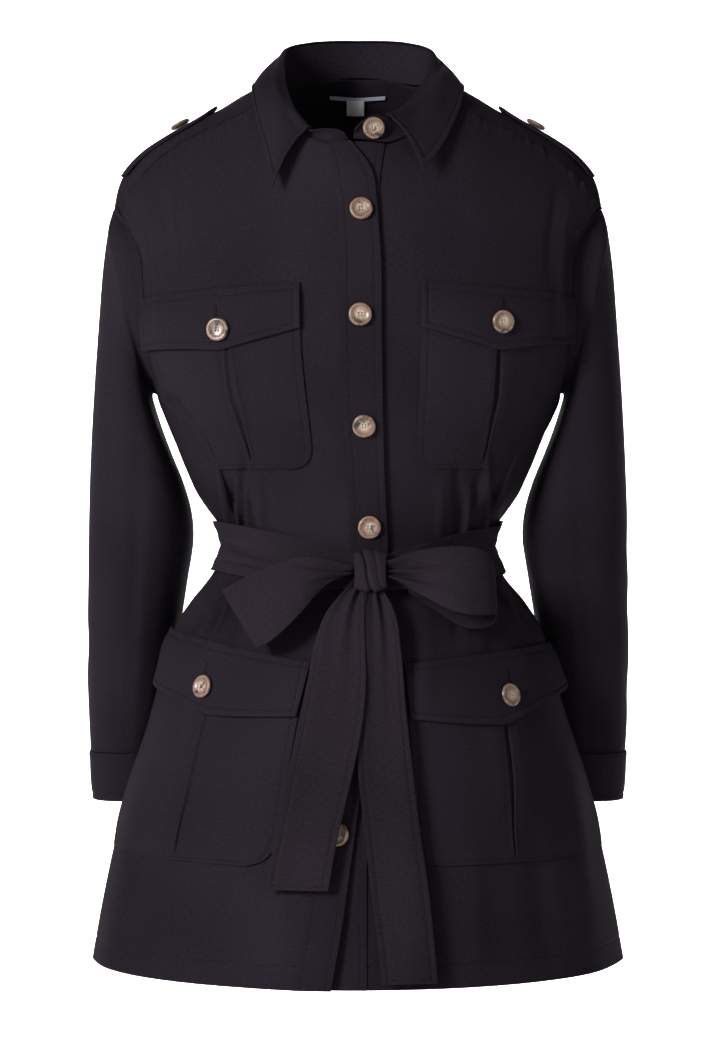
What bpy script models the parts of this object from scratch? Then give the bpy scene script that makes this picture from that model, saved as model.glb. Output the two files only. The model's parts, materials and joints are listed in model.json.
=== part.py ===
"""Belted safari jacket with a buttoned front, four flap pockets, shoulder straps and a turned-down collar.

Sizes are in millimetres and turned to metres as each vertex is placed.
The front faces -Y and +Z is up. Left and right are as seen from the front.
"""

import math

import bmesh
import bpy
from mathutils import Matrix, Vector

MM = 0.001

# Walls of the cloth pieces and the gaps between them.
PANEL = 1.2
PATCH = 1.0
FLAP = 1.4
BELT = 1.5
CUFF_WALL = 1.8
TAPE_WALL = 0.5
LABEL_WALL = 0.4
SEAM = 0.3
CLEAR = 0.55

# The shoulder slope: how far below the crest the chest and the upper back reach full depth.
CHEST_DROP = 180.0
BACK_DROP = 90.0

# The armhole: height of its middle, half its height, and how far it is scooped round the body.
HOLE_X = 197.0
HOLE_Z = -189.0
HOLE_HALF = 86.0
HOLE_SCOOP = 15.0
HOLE_ROUND = 0.34

NECK_SIDE = 76.0

BUTTON_R = 10.0
SMALL_BUTTON_R = 9.6
BUTTON_H = 4.2

# Body sections: height, half width, depth to the front, depth to the back, squareness.
BODY = [
    (60, 218, 96, 101, 2.7),
    (-46, 218, 98, 101.8, 2.7),
    (-103, 218, 104, 103.2, 2.7),
    (-130, 206, 109, 104.2, 2.7),
    (-148, 200, 112, 104.8, 2.7),
    (-184, 197, 116, 105.3, 2.7),
    (-232, 191, 118, 104.8, 2.7),
    (-262, 183, 116, 103, 2.65),
    (-290, 173, 112, 101, 2.6),
    (-313, 164, 107, 98, 2.5),
    (-352, 147, 99, 93, 2.3),
    (-367, 137, 96, 91, 2.2),
    (-384, 126, 93, 89, 2.1),
    (-395, 121, 92, 88, 2.05),
    (-405, 119, 92, 88, 2.0),
    (-413, 119.5, 93, 88, 2.0),
    (-428, 126, 97, 91, 2.0),
    (-443, 134, 103, 95, 2.0),
    (-460, 147, 112, 100, 2.0),
    (-483, 162, 122, 106, 2.0),
    (-510, 170, 131, 112, 2.0),
    (-535, 176, 138, 116, 2.0),
    (-599, 197, 150, 126, 2.0),
    (-643, 211, 158, 133, 2.0),
    (-673, 217, 163, 137, 2.0),
    (-716, 226, 171, 143, 2.0),
    (-757, 234, 178, 149, 2.0),
    (-777, 237, 181, 151, 2.0),
]

# Crest of the shoulder from the neck outwards: distance from the middle, height.
CREST = [
    (0, 47),
    (26, 34),
    (45, 25),
    (60, 17),
    (76, 9),
    (94, 0),
    (110, -10),
    (130, -21),
    (173, -44),
    (191, -56),
    (205, -70),
    (214, -85),
    (218, -103),
]

# Top of each front, the neck seam and then the yoke seam: distance from the middle, height.
FRONT_TOP = [
    (0, -57),
    (26, -60),
    (45, -51),
    (60, -38),
    (70, -26),
    (76, -14.5),
    (93, -22),
    (125.6, -36.5),
    (157, -50),
    (172.5, -62),
    (195, -83),
    (214.6, -110),
]

# Neck seam over the back: distance from the middle, height.
BACK_NECK = [(0, 22), (25, 19), (50, 12), (65, 9), (76, 9)]

# Seam between yoke and back: distance from the middle, height.
BACK_YOKE = [(0, -98), (80, -99), (160, -104), (214, -114)]

# Front edges: height, edge and strip seam of the top front, edge and strip seam of the under front.
FRONT_EDGE = [
    (-40, -10, -27, -9, 26),
    (-57, -7, -25, -9, 24),
    (-64, 1, -24, -10, 22),
    (-81, 10.5, -22, -12, 20),
    (-107, 15.7, -18.5, -15, 18),
    (-125, 17, -17, -15, 18),
    (-160, 20, -15.3, -14, 19),
    (-225, 20.5, -15.3, -13, 19.5),
    (-292, 21.5, -12.3, -12, 20.5),
    (-351, 23, -8.4, -11, 22),
    (-407, 25, -7, -9, 24),
    (-480, 20, -12, -13, 19),
    (-560, 10, -21, -20, 12),
    (-661, -4, -35, -24, 8),
    (-718, -11.5, -43, -25, 7.5),
    (-778, -22, -53, -26, 7.5),
]

# How far the top front stands out over the under front: height, lift.
LAP_LIFT = [(-40, 3.3), (-600, 3.3), (-661, 4.2), (-718, 6.0), (-778, 8.5)]

# Lines of each front, as shares from strip seam to side: height, pocket edge, pleat, outer pocket edge.
FRONT_LINES = {
    -1: [
        (-189, 0.197, 0.597, 0.975),
        (-236, 0.197, 0.597, 0.965),
        (-266, 0.193, 0.595, 0.93),
        (-290, 0.190, 0.590, 0.88),
        (-326, 0.197, 0.587, 0.835),
        (-345, 0.197, 0.587, 0.84),
        (-400, 0.195, 0.620, 0.88),
        (-480, 0.165, 0.690, 0.95),
        (-508, 0.157, 0.690, 0.975),
        (-553, 0.190, 0.700, 0.975),
        (-612, 0.180, 0.680, 0.975),
        (-778, 0.187, 0.690, 0.975),
    ],
    1: [
        (-189, 0.207, 0.605, 0.975),
        (-236, 0.207, 0.610, 0.97),
        (-296, 0.205, 0.630, 0.955),
        (-322, 0.210, 0.640, 0.90),
        (-345, 0.210, 0.640, 0.88),
        (-400, 0.200, 0.640, 0.90),
        (-480, 0.155, 0.660, 0.95),
        (-508, 0.144, 0.665, 0.975),
        (-555, 0.185, 0.660, 0.975),
        (-610, 0.185, 0.630, 0.975),
        (-656, 0.187, 0.600, 0.975),
        (-778, 0.187, 0.600, 0.975),
    ],
}

# Columns of a front between those lines, and its rows below the chest.
INNER_STEPS = [0.0, 0.5]
MIDDLE_STEPS = [0.0, 0.15, 0.43, 0.72]
OUTER_STEPS = [0.0, 0.33, 0.67]
SIDE_STEPS = [0.0, 0.5, 1.0]
SHOULDER_ROWS = 5
LEVELS = [
    -189, -218, -244, -262, -271, -275, -294, -317, -340, -359, -375, -390, -406,
    -422, -438, -458, -486, -522, -568, -620, -677, -727, -777,
]

# Gathers at the waist: height and depth of the folds.
GATHER = [
    (-325, 0), (-340, 0.5), (-359, 2.4), (-375, 2.6), (-390, 0.8), (-406, 0.4),
    (-422, 0.4), (-438, 0.8), (-458, 2.6), (-486, 2.2), (-522, 0.6), (-550, 0),
]

# Pockets: top, bottom, corner radius.
BREAST_POCKET = (-206, -340, 18)
HIP_POCKET = (-520, -677, 22)

# Flaps: share along the top edge, height of the top, height of the bottom, extra lift at the bottom.
BREAST_FLAP = {
    -1: [(0.0, -182, -221, 0.4), (0.5, -186, -238.5, 0.8), (1.0, -190, -235, 1.5)],
    1: [(0.0, -181, -220, 0.4), (0.5, -185, -238.5, 0.8), (1.0, -189, -229, 1.5)],
}
HIP_FLAP = {
    -1: [(0.0, -508, -553, 0.8), (0.6, -494, -555, 1.2), (1.0, -483, -533, 3.0)],
    1: [(0.0, -509, -555, 0.8), (0.58, -501, -563, 1.2), (1.0, -495, -536, 7.0)],
}

# Sleeve rings: outer x and z, inner x and z, middle y, half depth.
SLEEVE = [
    (222.5, -116, 185, -271.5, 1, 48),
    (226, -134, 183.5, -287, 4, 51),
    (229.5, -158, 178, -304, 8, 54),
    (233.5, -205, 168, -328, 11, 58),
    (238.5, -275, 158, -352, 15, 62),
    (242, -335, 151, -378, 20, 63),
    (244.5, -395, 150, -405, 29, 61),
    (246, -440, 156, -441, 38, 59),
    (247.2, -480, 162.5, -480, 47, 56),
    (248.2, -520, 168, -520, 56, 53),
    (248.2, -560, 174, -560, 65, 49),
    (247.2, -597.7, 178, -597.7, 73, 45),
]
SLEEVE_SQUARE = 2.25
CUFF = [
    (248.4, -598, 178.5, -598, 73, 45.6),
    (248.4, -613, 180, -613, 76, 45),
    (248.0, -628, 182.5, -628, 80, 44),
    (246.5, -643, 185, -643, 83, 42.5),
]

# Collar stations from the left band end round the back to the right one:
# neck seam x y z, roll line x y z, leaf edge x y z. Rows with no leaf are the band ends.
COLLAR = [
    (-9, -91, -56.5, -11, -91.5, -50.5, None),
    (-17, -90.5, -59, -18, -91, -46.5, None),
    (-27, -90, -60, -29, -90, -45.5, None),
    (-45, -82, -51.5, -41, -88, -46.5, (-72.7, -106, -100)),
    (-61, -72, -37.5, -53, -73, -31.5, (-79, -91, -70)),
    (-72, -54, -21.5, -61, -48, -13, (-88, -64, -37)),
    (-76, -28, 1, -66, -16, 11, (-94, -28, -3)),
    (-75.5, 0, 11.5, -67, 13, 31, (-93, 14, 7)),
    (-68, 32, 9.5, -62, 41, 46, (-84, 54, 3)),
    (-46, 53, 13.5, -42, 61, 54, (-57, 84, 3)),
    (-22, 68, 20, -21, 71, 57, (-28, 97, 5)),
    (0, 73, 22.5, 0, 74, 57.5, (0, 101, 5.5)),
    (22, 68, 20, 21, 71, 57, (28, 97, 5)),
    (46, 53, 13.5, 42, 61, 54, (57, 84, 3)),
    (68, 32, 9.5, 63, 41, 45, (84, 54, 3)),
    (75.5, 0, 11.5, 67, 13, 29, (93, 14, 7)),
    (76, -28, 1, 61, -16, 9, (94, -28, -3)),
    (72, -54, -21.5, 47, -48, -15, (86, -64, -33)),
    (60, -72, -38.5, 36, -71, -28, (72, -90, -62)),
    (44, -82, -52, 24.5, -87, -35, (56, -106, -85)),
    (26, -90, -59.5, 14, -90.5, -33.5, None),
    (9, -91.5, -57.5, 5, -91.5, -38, None),
    (-4, -91, -56, -3, -91.5, -47, None),
]

# Front buttons: height, middle of the button.
FRONT_BUTTONS = [(-120, 2.5), (-210, 2), (-303, 5.2), (-391, 9.5), (-478, 5), (-560, -5), (-650, -17)]

# Buttons of the pocket flaps: distance from the middle and height, for either side. That of the collar band.
BREAST_BUTTON = {-1: (-118, -221.5), 1: (122, -215)}
HIP_BUTTON = {-1: (-128.5, -531), 1: (126, -538)}
STRAP_BUTTON_X = 157
BAND_BUTTON = (13.5, -90.7, -46)
BAND_FACING = (0.12, -1, 0.05)

# Belt loops: outer edge in x and z, inner edge in x and z, depth in front of the belt.
LOOP_L = [
    (-5, -424, -5.5, -433, 4),
    (-26, -419, -28, -441, 12),
    (-48, -418, -46, -461, 18),
    (-76, -425, -66, -481, 17),
    (-101, -437, -78, -490, 12),
    (-115.5, -445, -85.5, -493, 6),
    (-116.5, -445.5, -86.5, -493.5, 2),
    (-114, -446, -84, -492.5, -2),
    (-88, -434, -72, -482, -5),
    (-52, -424, -48, -458, -6),
    (-20, -424, -20, -440, -5),
]
LOOP_R = [
    (26, -421, 26, -435, 4),
    (54, -412, 56, -450, 12),
    (82, -408, 80, -462, 18),
    (104, -410, 100, -466, 17),
    (114, -417, 114, -466, 12),
    (117, -425, 118.5, -466, 6),
    (117.5, -432, 119, -468, 2),
    (115, -434, 116, -474, -3),
    (100, -424, 96, -478, -5),
    (72, -420, 66, -462, -6),
    (46, -424, 44, -446, -5),
]

# Belt tails: height, left edge, right edge, lift over the front.
TAIL_L = [
    (-456.2, -16, 4.5, 18.6),
    (-470, -24, 4.5, 19.5),
    (-492, -33, 4.5, 18.5),
    (-523, -39, 4, 17.5),
    (-570, -49, -2, 16.5),
    (-620, -58.5, -10, 16.5),
    (-660, -66.5, -17.5, 17),
    (-697, -73.5, -23.5, 17.5),
]
TAIL_R = [
    (-458, 5, 25, 16.2),
    (-470, 4, 29, 16.6),
    (-500, 4, 34, 16),
    (-545, 3.5, 38, 13.5),
    (-600, 2, 44, 13),
    (-650, 6, 50, 13),
    (-700, 11, 57, 13),
    (-750, 17.5, 62, 13.5),
    (-772, 19.5, 64, 13.5),
]


def blend(table, at, column):
    """Reads one column of a table whose first column runs one way, along a smooth curve."""
    rows = table if table[0][0] < table[-1][0] else table[::-1]
    if at <= rows[0][0]:
        return rows[0][column]
    if at >= rows[-1][0]:
        return rows[-1][column]
    i = 0
    while rows[i + 1][0] < at:
        i += 1
    x0 = rows[i][0]
    x1 = rows[i + 1][0]
    y0 = rows[i][column]
    y1 = rows[i + 1][column]
    step = (y1 - y0) / (x1 - x0)
    before = step
    after = step
    if i > 0:
        before = (y0 - rows[i - 1][column]) / (x0 - rows[i - 1][0])
    if i + 2 < len(rows):
        after = (rows[i + 2][column] - y1) / (rows[i + 2][0] - x1)
    m0 = 0.5 * (before + step) if before * step > 0 else 0.0
    m1 = 0.5 * (after + step) if after * step > 0 else 0.0
    limit = 3 * abs(step)
    m0 = max(-limit, min(limit, m0))
    m1 = max(-limit, min(limit, m1))
    t = (at - x0) / (x1 - x0)
    h = x1 - x0
    return (
        y0 * (1 + 2 * t) * (1 - t) ** 2
        + m0 * h * t * (1 - t) ** 2
        + y1 * t * t * (3 - 2 * t)
        - m1 * h * t * t * (1 - t)
    )


def straight(table, at, column):
    """Reads one column of a table along straight lines."""
    rows = table if table[0][0] < table[-1][0] else table[::-1]
    if at <= rows[0][0]:
        return rows[0][column]
    for low, high in zip(rows, rows[1:]):
        if at <= high[0]:
            share = (at - low[0]) / (high[0] - low[0])
            return low[column] + share * (high[column] - low[column])
    return rows[-1][column]


def rounding(x, z, drop):
    """Share of the full depth at this height under the shoulder crest."""
    t = (blend(CREST, abs(x), 1) - z) / drop
    t = max(0.0, min(1.0, t))
    return math.sqrt(max(0.0, 1 - (1 - t) ** 2))


def skin(theta, z, side):
    """Point of the body at an angle from the middle of the front, 180 being the middle of the back."""
    a = blend(BODY, z, 1)
    front = theta <= 90
    b = blend(BODY, z, 2 if front else 3)
    n = blend(BODY, z, 4)
    s = math.sin(math.radians(theta))
    c = math.cos(math.radians(theta))
    r = ((abs(s) / a) ** n + (abs(c) / b) ** n) ** (-1 / n)
    x = r * abs(s)
    y = -r * c * rounding(x, z, CHEST_DROP if front else BACK_DROP)
    return Vector((side * x, y, z))


def angle_of(x, z, front=True):
    """Angle at which the body has this distance from the middle."""
    a = blend(BODY, z, 1)
    b = blend(BODY, z, 2 if front else 3)
    n = blend(BODY, z, 4)
    share = min(0.9999, abs(x) / a)
    depth = b * (1 - share**n) ** (1 / n)
    angle = math.degrees(math.atan2(abs(x), depth))
    return angle if front else 180 - angle


def arm_angle(z, front=True):
    """Angle of the armhole edge at this height; the side seam below it."""
    cosine = (z - HOLE_Z) / HOLE_HALF
    if cosine <= -1:
        return 90.0
    scoop = HOLE_SCOOP * max(0.0, 1 - min(1.0, cosine) ** 2) ** HOLE_ROUND
    return 90 - scoop if front else 90 + scoop


def front_point(x, z):
    """Point of the front at a distance from the middle, either side."""
    side = -1 if x < 0 else 1
    return skin(angle_of(x, z), z, side)


def front_normal(x, z):
    step = 0.5
    across = front_point(x + step, z) - front_point(x - step, z)
    down = front_point(x, z - step) - front_point(x, z + step)
    return down.cross(across).normalized()


def over_front(x, z, lift):
    """Point that stands out from the front by a lift."""
    return front_point(x, z) + front_normal(x, z) * lift


def panel_point(share, z, side):
    """Point of a front at a share of the way from its strip seam to the armhole or the side seam."""
    seam = abs_seam(z, side)
    edge_angle = arm_angle(z)
    edge = skin(edge_angle, z, 1).x
    turn = 0.85
    if share <= turn:
        x = seam + share * (side * edge - seam)
        return front_point(x, z)
    x = seam + turn * (side * edge - seam)
    first = angle_of(x, z)
    theta = first + (share - turn) / (1 - turn) * (edge_angle - first)
    return skin(theta, z, side)


def abs_seam(z, side):
    """Seam of the button strip of either front."""
    return blend(FRONT_EDGE, z, 2 if side < 0 else 4)


def edge_x(z, side):
    return blend(FRONT_EDGE, z, 1 if side < 0 else 3)


def normal_at(place, u, v, du=0.002, dv=0.3, low=0.0, high=1.0):
    """Outward normal of a placing function by small steps."""
    u0 = max(low, u - du)
    u1 = min(high, u + du)
    across = place(u1, v) - place(u0, v)
    down = place(u, v - dv) - place(u, v + dv)
    n = across.cross(down).normalized()
    p = place(u, v)
    middle = Vector((0, 0, p.z))
    if n.dot(p - middle) < 0:
        n.negate()
    return n


def line_share(z, side, column):
    return straight(FRONT_LINES[side], z, column)


def columns_at(z, side):
    """Shares of the columns of a front at one height, from strip seam to side."""
    inner = line_share(z, side, 1)
    pleat = line_share(z, side, 2)
    outer = line_share(z, side, 3)
    found = [inner * s for s in INNER_STEPS]
    found += [inner + (pleat - inner) * s for s in MIDDLE_STEPS]
    found += [pleat + (outer - pleat) * s for s in OUTER_STEPS]
    found += [outer + (1 - outer) * s for s in SIDE_STEPS]
    return found


PLEAT_COLUMN = len(INNER_STEPS) + len(MIDDLE_STEPS)
OUTER_COLUMN = PLEAT_COLUMN + len(OUTER_STEPS)
FRONT_COLUMNS = OUTER_COLUMN + len(SIDE_STEPS)


def gather(column, z):
    """Waist folds: every other column stands out."""
    if column < 5:
        return 0.0
    weight = min(1.0, (column - 4) / 3)
    sign = 1.0 if column % 2 else -0.1
    return blend(GATHER, z, 1) * sign * weight


def lap_lift(column, z, side):
    """Lift of the top front where it lies over the under front, fading to the side."""
    if side > 0:
        return 0.0
    fade = [1.0, 1.0, 1.0, 0.72, 0.4, 0.16, 0.05]
    share = fade[column] if column < len(fade) else 0.0
    return share * blend(LAP_LIFT, z, 1)


def base_front(column, z, side):
    """Point and normal of a front at a column. Columns 0 and 1 are its edge and the middle of its strip."""
    if column < 2:
        edge = edge_x(z, side)
        x = edge + 0.5 * column * (abs_seam(z, side) - edge)
        point = front_point(x, z)
        normal = front_normal(x, z)
    else:
        share = columns_at(z, side)[column - 2]

        def place(u, v):
            return panel_point(u, v, side)

        point = place(share, z)
        normal = normal_at(place, share, z)
    lift = lap_lift(column, z, side) + gather(column - 2, z)
    return point + normal * lift, normal


def row_height(column, row, side):
    """Height of a row of a front: even rows from its top edge to the chest, then the levels."""
    if row >= SHOULDER_ROWS:
        return LEVELS[row - SHOULDER_ROWS]
    if column < 2:
        z = -60.0
        for _ in range(6):
            edge = edge_x(z, side)
            x = edge + 0.5 * column * (abs_seam(z, side) - edge)
            z = straight(FRONT_TOP, abs(x), 1)
    else:
        z = -60.0
        for _ in range(12):
            share = columns_at(z, side)[column - 2]
            z = straight(FRONT_TOP, abs(panel_point(share, z, side).x), 1)
    z -= SEAM
    return z + (LEVELS[0] - z) * row / SHOULDER_ROWS


def new_material(name, colour, roughness):
    """Plain Principled surface."""
    mat = bpy.data.materials.new(name)
    mat.use_nodes = True
    shader = mat.node_tree.nodes["Principled BSDF"]
    shader.inputs["Base Color"].default_value = (*colour, 1)
    shader.inputs["Roughness"].default_value = roughness
    return mat


def keep(bm, name, mat):
    """Stores a finished mesh as its own named object."""
    mesh = bpy.data.meshes.new(name)
    bmesh.ops.recalc_face_normals(bm, faces=bm.faces)
    if bm.calc_volume(signed=True) < 0:
        bmesh.ops.reverse_faces(bm, faces=bm.faces)
    bm.to_mesh(mesh)
    bm.free()
    mesh.materials.append(mat.copy())
    mesh.materials[0].name = name + "_" + mat.name
    obj = bpy.data.objects.new(name, mesh)
    jacket.objects.link(obj)
    return obj


def cloth(name, across, down, place, wall, mat, keep_cell=None, wrapped=False):
    """Sheet of cloth: a grid whose points are placed by a function, then given a wall along the normals."""
    bm = bmesh.new()
    bmesh.ops.create_grid(bm, x_segments=across, y_segments=down, size=0.5)
    out = bm.verts.layers.float_vector.new("out")
    for face in list(bm.faces):
        middle = face.calc_center_median()
        i = int((middle.x + 0.5) * across)
        j = int((0.5 - middle.y) * down)
        if keep_cell and not keep_cell(i, j):
            bmesh.ops.delete(bm, geom=[face], context="FACES")
    for vert in bm.verts:
        i = round((vert.co.x + 0.5) * across)
        j = round((0.5 - vert.co.y) * down)
        if wrapped and i == across:
            i = 0
        point, normal = place(i, j)
        vert.co = point * MM
        vert[out] = normal
    if wrapped:
        bmesh.ops.remove_doubles(bm, verts=bm.verts, dist=1e-6)
    made = bmesh.ops.extrude_face_region(bm, geom=bm.faces[:], use_keep_orig=True)
    for vert in made["geom"]:
        if isinstance(vert, bmesh.types.BMVert):
            vert.co += Vector(vert[out]) * wall * MM
    return keep(bm, name, mat)


def grid_normals(points, wrapped=False):
    """Normals of a grid of points, each from its neighbours."""
    rows = len(points)
    cols = len(points[0])
    normals = []
    for j in range(rows):
        line = []
        for i in range(cols):
            left = points[j][(i - 1) % cols] if wrapped else points[j][max(0, i - 1)]
            right = points[j][(i + 1) % cols] if wrapped else points[j][min(cols - 1, i + 1)]
            above = points[max(0, j - 1)][i]
            below = points[min(rows - 1, j + 1)][i]
            line.append((right - left).cross(below - above).normalized())
        normals.append(line)
    return normals


def sheet_from_points(name, points, wall, mat, lift=0.0, wrapped=False, flip=False):
    """Sheet of cloth through a grid of points, lifted off it and given its wall."""
    normals = grid_normals(points, wrapped)
    sign = -1 if flip else 1

    def place(i, j):
        n = normals[j][i] * sign
        return points[j][i] + n * lift, n

    cols = len(points[0]) if wrapped else len(points[0]) - 1
    return cloth(name, cols, len(points) - 1, place, wall, mat, wrapped=wrapped)


# The scene starts empty.
for old in list(bpy.data.objects):
    bpy.data.objects.remove(old)
jacket = bpy.data.collections.new("safari_jacket")
bpy.context.scene.collection.children.link(jacket)

cloth_mat = new_material("jacket_cloth", (0.026, 0.020, 0.028), 0.8)
belt_mat = new_material("belt_cloth", (0.028, 0.022, 0.030), 0.8)
horn_mat = new_material("horn_button", (0.33, 0.22, 0.15), 0.35)
tape_mat = new_material("neck_tape", (0.42, 0.48, 0.56), 0.8)
label_mat = new_material("size_label", (0.8, 0.8, 0.82), 0.7)


# Fronts
# Each front hangs from the neck and yoke seams to the hem. The left one laps over the right one.
def front_place(side):
    def place(i, j):
        return base_front(i, row_height(i, j, side), side)

    return place


front_rows = SHOULDER_ROWS + len(LEVELS) - 1
for side, name in ((-1, "front_l"), (1, "front_r")):
    cloth(name, FRONT_COLUMNS + 1, front_rows, front_place(side), PANEL, cloth_mat)


# Button strips
# A strip of doubled cloth runs down the edge of each front and carries the buttons.
def strip_place(side):
    def place(i, j):
        z = row_height(i, j, side)
        point, normal = base_front(i, z, side)
        return point + normal * (PANEL + SEAM), normal

    return place


cloth("placket_top", 2, front_rows, strip_place(-1), PATCH, cloth_mat)
cloth("placket_under", 2, front_rows, strip_place(1), PATCH, cloth_mat)

# Back
# One piece from side seam to side seam, under the yoke, flaring from the waist to the hem.
BACK_STEPS = [0, 0.12, 0.24, 0.355, 0.48, 0.61, 0.72, 0.82, 0.90, 0.96, 1.0]
BACK_LEVELS = [
    -189, -225, -254, -269, -275, -302, -332, -358, -378, -395, -410, -427,
    -447, -472, -505, -548, -600, -660, -720, -777,
]
BACK_TOP_ROWS = 4
BACK_TURN = 0.82


def back_base(share, z, side):
    """Point of the back at a share from the middle to the armhole or side seam."""
    edge = arm_angle(z, False)
    x_edge = skin(edge, z, 1).x
    if share <= BACK_TURN:
        return skin(angle_of(x_edge * share, z, False), z, side)
    first = angle_of(x_edge * BACK_TURN, z, False)
    theta = first + (edge - first) * (share - BACK_TURN) / (1 - BACK_TURN)
    return skin(theta, z, side)


def back_normal(share, z, side):
    """Outward normal of the back."""
    if share == 0:
        slope = skin(180, z + 1, side).y - skin(180, z - 1, side).y
        return Vector((0, 1, -0.5 * slope)).normalized()

    def place(u, v):
        return back_base(u, v, side)

    return normal_at(place, share, z)


def back_top(share, side):
    """Height of the yoke seam at a share of the back."""
    z = -105.0
    for _ in range(8):
        z = straight(BACK_YOKE, abs(back_base(share, z, side).x), 1)
    return z


def back_place(i, j):
    half = len(BACK_STEPS) - 1
    side = -1 if i <= half else 1
    k = abs(i - half)
    share = BACK_STEPS[k]
    if j >= BACK_TOP_ROWS:
        z = BACK_LEVELS[j - BACK_TOP_ROWS]
    else:
        top = back_top(share, side) - SEAM
        z = top + (BACK_LEVELS[0] - top) * j / BACK_TOP_ROWS
    if k == half and z < HOLE_Z - HOLE_HALF:
        share = 0.998
    normal = back_normal(share, z, side)
    fold = 0.8 * blend(GATHER, z, 1) if k % 2 and k < half else 0.0
    return back_base(share, z, side) + normal * fold, normal


cloth("back", 2 * (len(BACK_STEPS) - 1), BACK_TOP_ROWS + len(BACK_LEVELS) - 1, back_place, PANEL, cloth_mat)

# Yoke
# One piece lies over both shoulders and the back neck, with the neck hole cut from its middle.
YOKE_FRONT = 3
YOKE_BACK = 7
NECK_STEPS = 3
YOKE_COLUMNS = [5, 6, 7, 8, 9, 10, 11, 13]


def crest_point(x_seam, x_crest, turn_share, front, side):
    """Point over the shoulder crest: turn_share 0 is the crest or the neck seam, 1 the yoke seam."""
    far = x_crest + (x_seam - x_crest) * turn_share
    top = blend(CREST, far, 1)
    drop = CHEST_DROP if front else BACK_DROP
    start = 0.0
    if not front and far < NECK_SIDE:
        start = math.acos(1 - max(0.0, (top - blend(BACK_NECK, far, 1)) / drop))
    if front:
        end = math.acos(1 - (top - straight(FRONT_TOP, far, 1)) / drop)
    else:
        seam = straight(BACK_YOKE, far, 1)
        end = math.acos(max(0.0, 1 - (top - seam) / drop))
    psi = start + (end - start) * turn_share
    z = top - drop * (1 - math.cos(psi))
    if not front and top - seam > drop:
        first = blend(BACK_NECK, far, 1) if far < NECK_SIDE else top
        z = first + (seam - first) * turn_share
    depth = blend(BODY, z, 2 if front else 3)
    n = blend(BODY, z, 4)
    a = blend(BODY, z, 1)
    width = (1 - min(0.9999, far / a) ** n) ** (1 / n)
    y = depth * width * rounding(far, z, drop)
    return Vector((side * far, -y if front else y, z))


def armhole_point(alpha, side):
    """Point of the armhole seam; 0 is its top, positive angles run down the front."""
    z = HOLE_Z + HOLE_HALF * math.cos(alpha)
    sine = math.sin(alpha)
    scoop = HOLE_SCOOP * abs(sine) ** (2 * HOLE_ROUND)
    return skin(90 - math.copysign(scoop, sine), z, side)


yoke_half = NECK_STEPS + len(YOKE_COLUMNS) - 1
yoke_points = []
yoke_edges = {}
for j in range(-YOKE_FRONT, YOKE_BACK + 1):
    row = []
    front = j < 0
    share = -j / YOKE_FRONT if front else j / YOKE_BACK
    for i in range(-yoke_half, yoke_half + 1):
        side = -1 if i < 0 else 1
        k = abs(i)
        x_back = abs(back_base(BACK_STEPS[k], back_top(BACK_STEPS[k], side), side).x)
        if k < NECK_STEPS:
            row.append(crest_point(x_back, x_back, share, False, side))
            continue
        column = YOKE_COLUMNS[k - NECK_STEPS]
        seam_height = row_height(column, 0, side) + SEAM
        joined, joined_normal = base_front(column, seam_height, side)
        x_front = abs(joined.x)
        x_crest = NECK_SIDE if k == NECK_STEPS else 0.5 * (x_front + x_back)
        if front and share == 1:
            row.append(joined)
            yoke_edges[(i, j)] = joined_normal
        elif not front and share == 1:
            row.append(back_base(BACK_STEPS[k], back_top(BACK_STEPS[k], side), side))
            yoke_edges[(i, j)] = back_normal(BACK_STEPS[k], back_top(BACK_STEPS[k], side), side)
        elif k == yoke_half:
            height = seam_height if front else back_top(1.0, side)
            last = math.acos((height - HOLE_Z) / HOLE_HALF)
            row.append(armhole_point(last * share if front else -last * share, side))
        else:
            row.append(crest_point(x_front if front else x_back, x_crest, share, front, side))
    yoke_points.append(row)
yoke_normals = grid_normals(yoke_points)


def yoke_place(i, j):
    k = i - yoke_half
    row = j - YOKE_FRONT
    normal = yoke_normals[j][i]
    here = yoke_points[j][i]
    if row == 0 and abs(k) <= NECK_STEPS:
        left = yoke_points[j][i - 1]
        right = yoke_points[j][i + 1]
        normal = (right - left).cross(yoke_points[j + 1][i] - here).normalized()
    if (k, row) in yoke_edges:
        normal = yoke_edges[(k, row)]
    if row == YOKE_BACK and (k, row) not in yoke_edges:
        share = BACK_STEPS[abs(k)]
        side = -1 if k < 0 else 1
        normal = back_normal(share, back_top(share, side), side)
    return here, normal


def yoke_cell(i, j):
    column = i - yoke_half
    middle = -NECK_STEPS <= column < NECK_STEPS
    return not (middle and j < YOKE_FRONT)


cloth("yoke", 2 * yoke_half, YOKE_FRONT + YOKE_BACK, yoke_place, PANEL, cloth_mat, keep_cell=yoke_cell)


# Sleeves
# Full sleeves hang from the armholes, bent a little back, and end at the cuff seams.
def clear_of_body(point, room):
    """Moves a point sideways until it stands clear of the body."""
    a = blend(BODY, point.z, 1) + room
    b = blend(BODY, point.z, 2 if point.y < 0 else 3) + room
    n = blend(BODY, point.z, 4)
    share = abs(point.y) / b
    if share >= 1:
        return point
    limit = a * (1 - share**n) ** (1 / n)
    side = -1 if point.x < 0 else 1
    if abs(point.x) < limit:
        point = Vector((side * limit, point.y, point.z))
    return point


def ring_angles(side):
    """Angles round the armhole at which the rows of the front and the back end on it."""
    lowest = HOLE_Z - HOLE_HALF + 0.5
    front = [row_height(FRONT_COLUMNS + 1, j, side) for j in range(front_rows + 1)]
    front = [math.acos((z - HOLE_Z) / HOLE_HALF) for z in front if z > lowest]
    top = back_top(1.0, side) - SEAM
    back = [top + (BACK_LEVELS[0] - top) * j / BACK_TOP_ROWS for j in range(BACK_TOP_ROWS)]
    back += [z for z in BACK_LEVELS if z > lowest]
    back = [-math.acos((z - HOLE_Z) / HOLE_HALF) for z in back]
    return [0.0] + front + [math.pi] + back[::-1]


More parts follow.
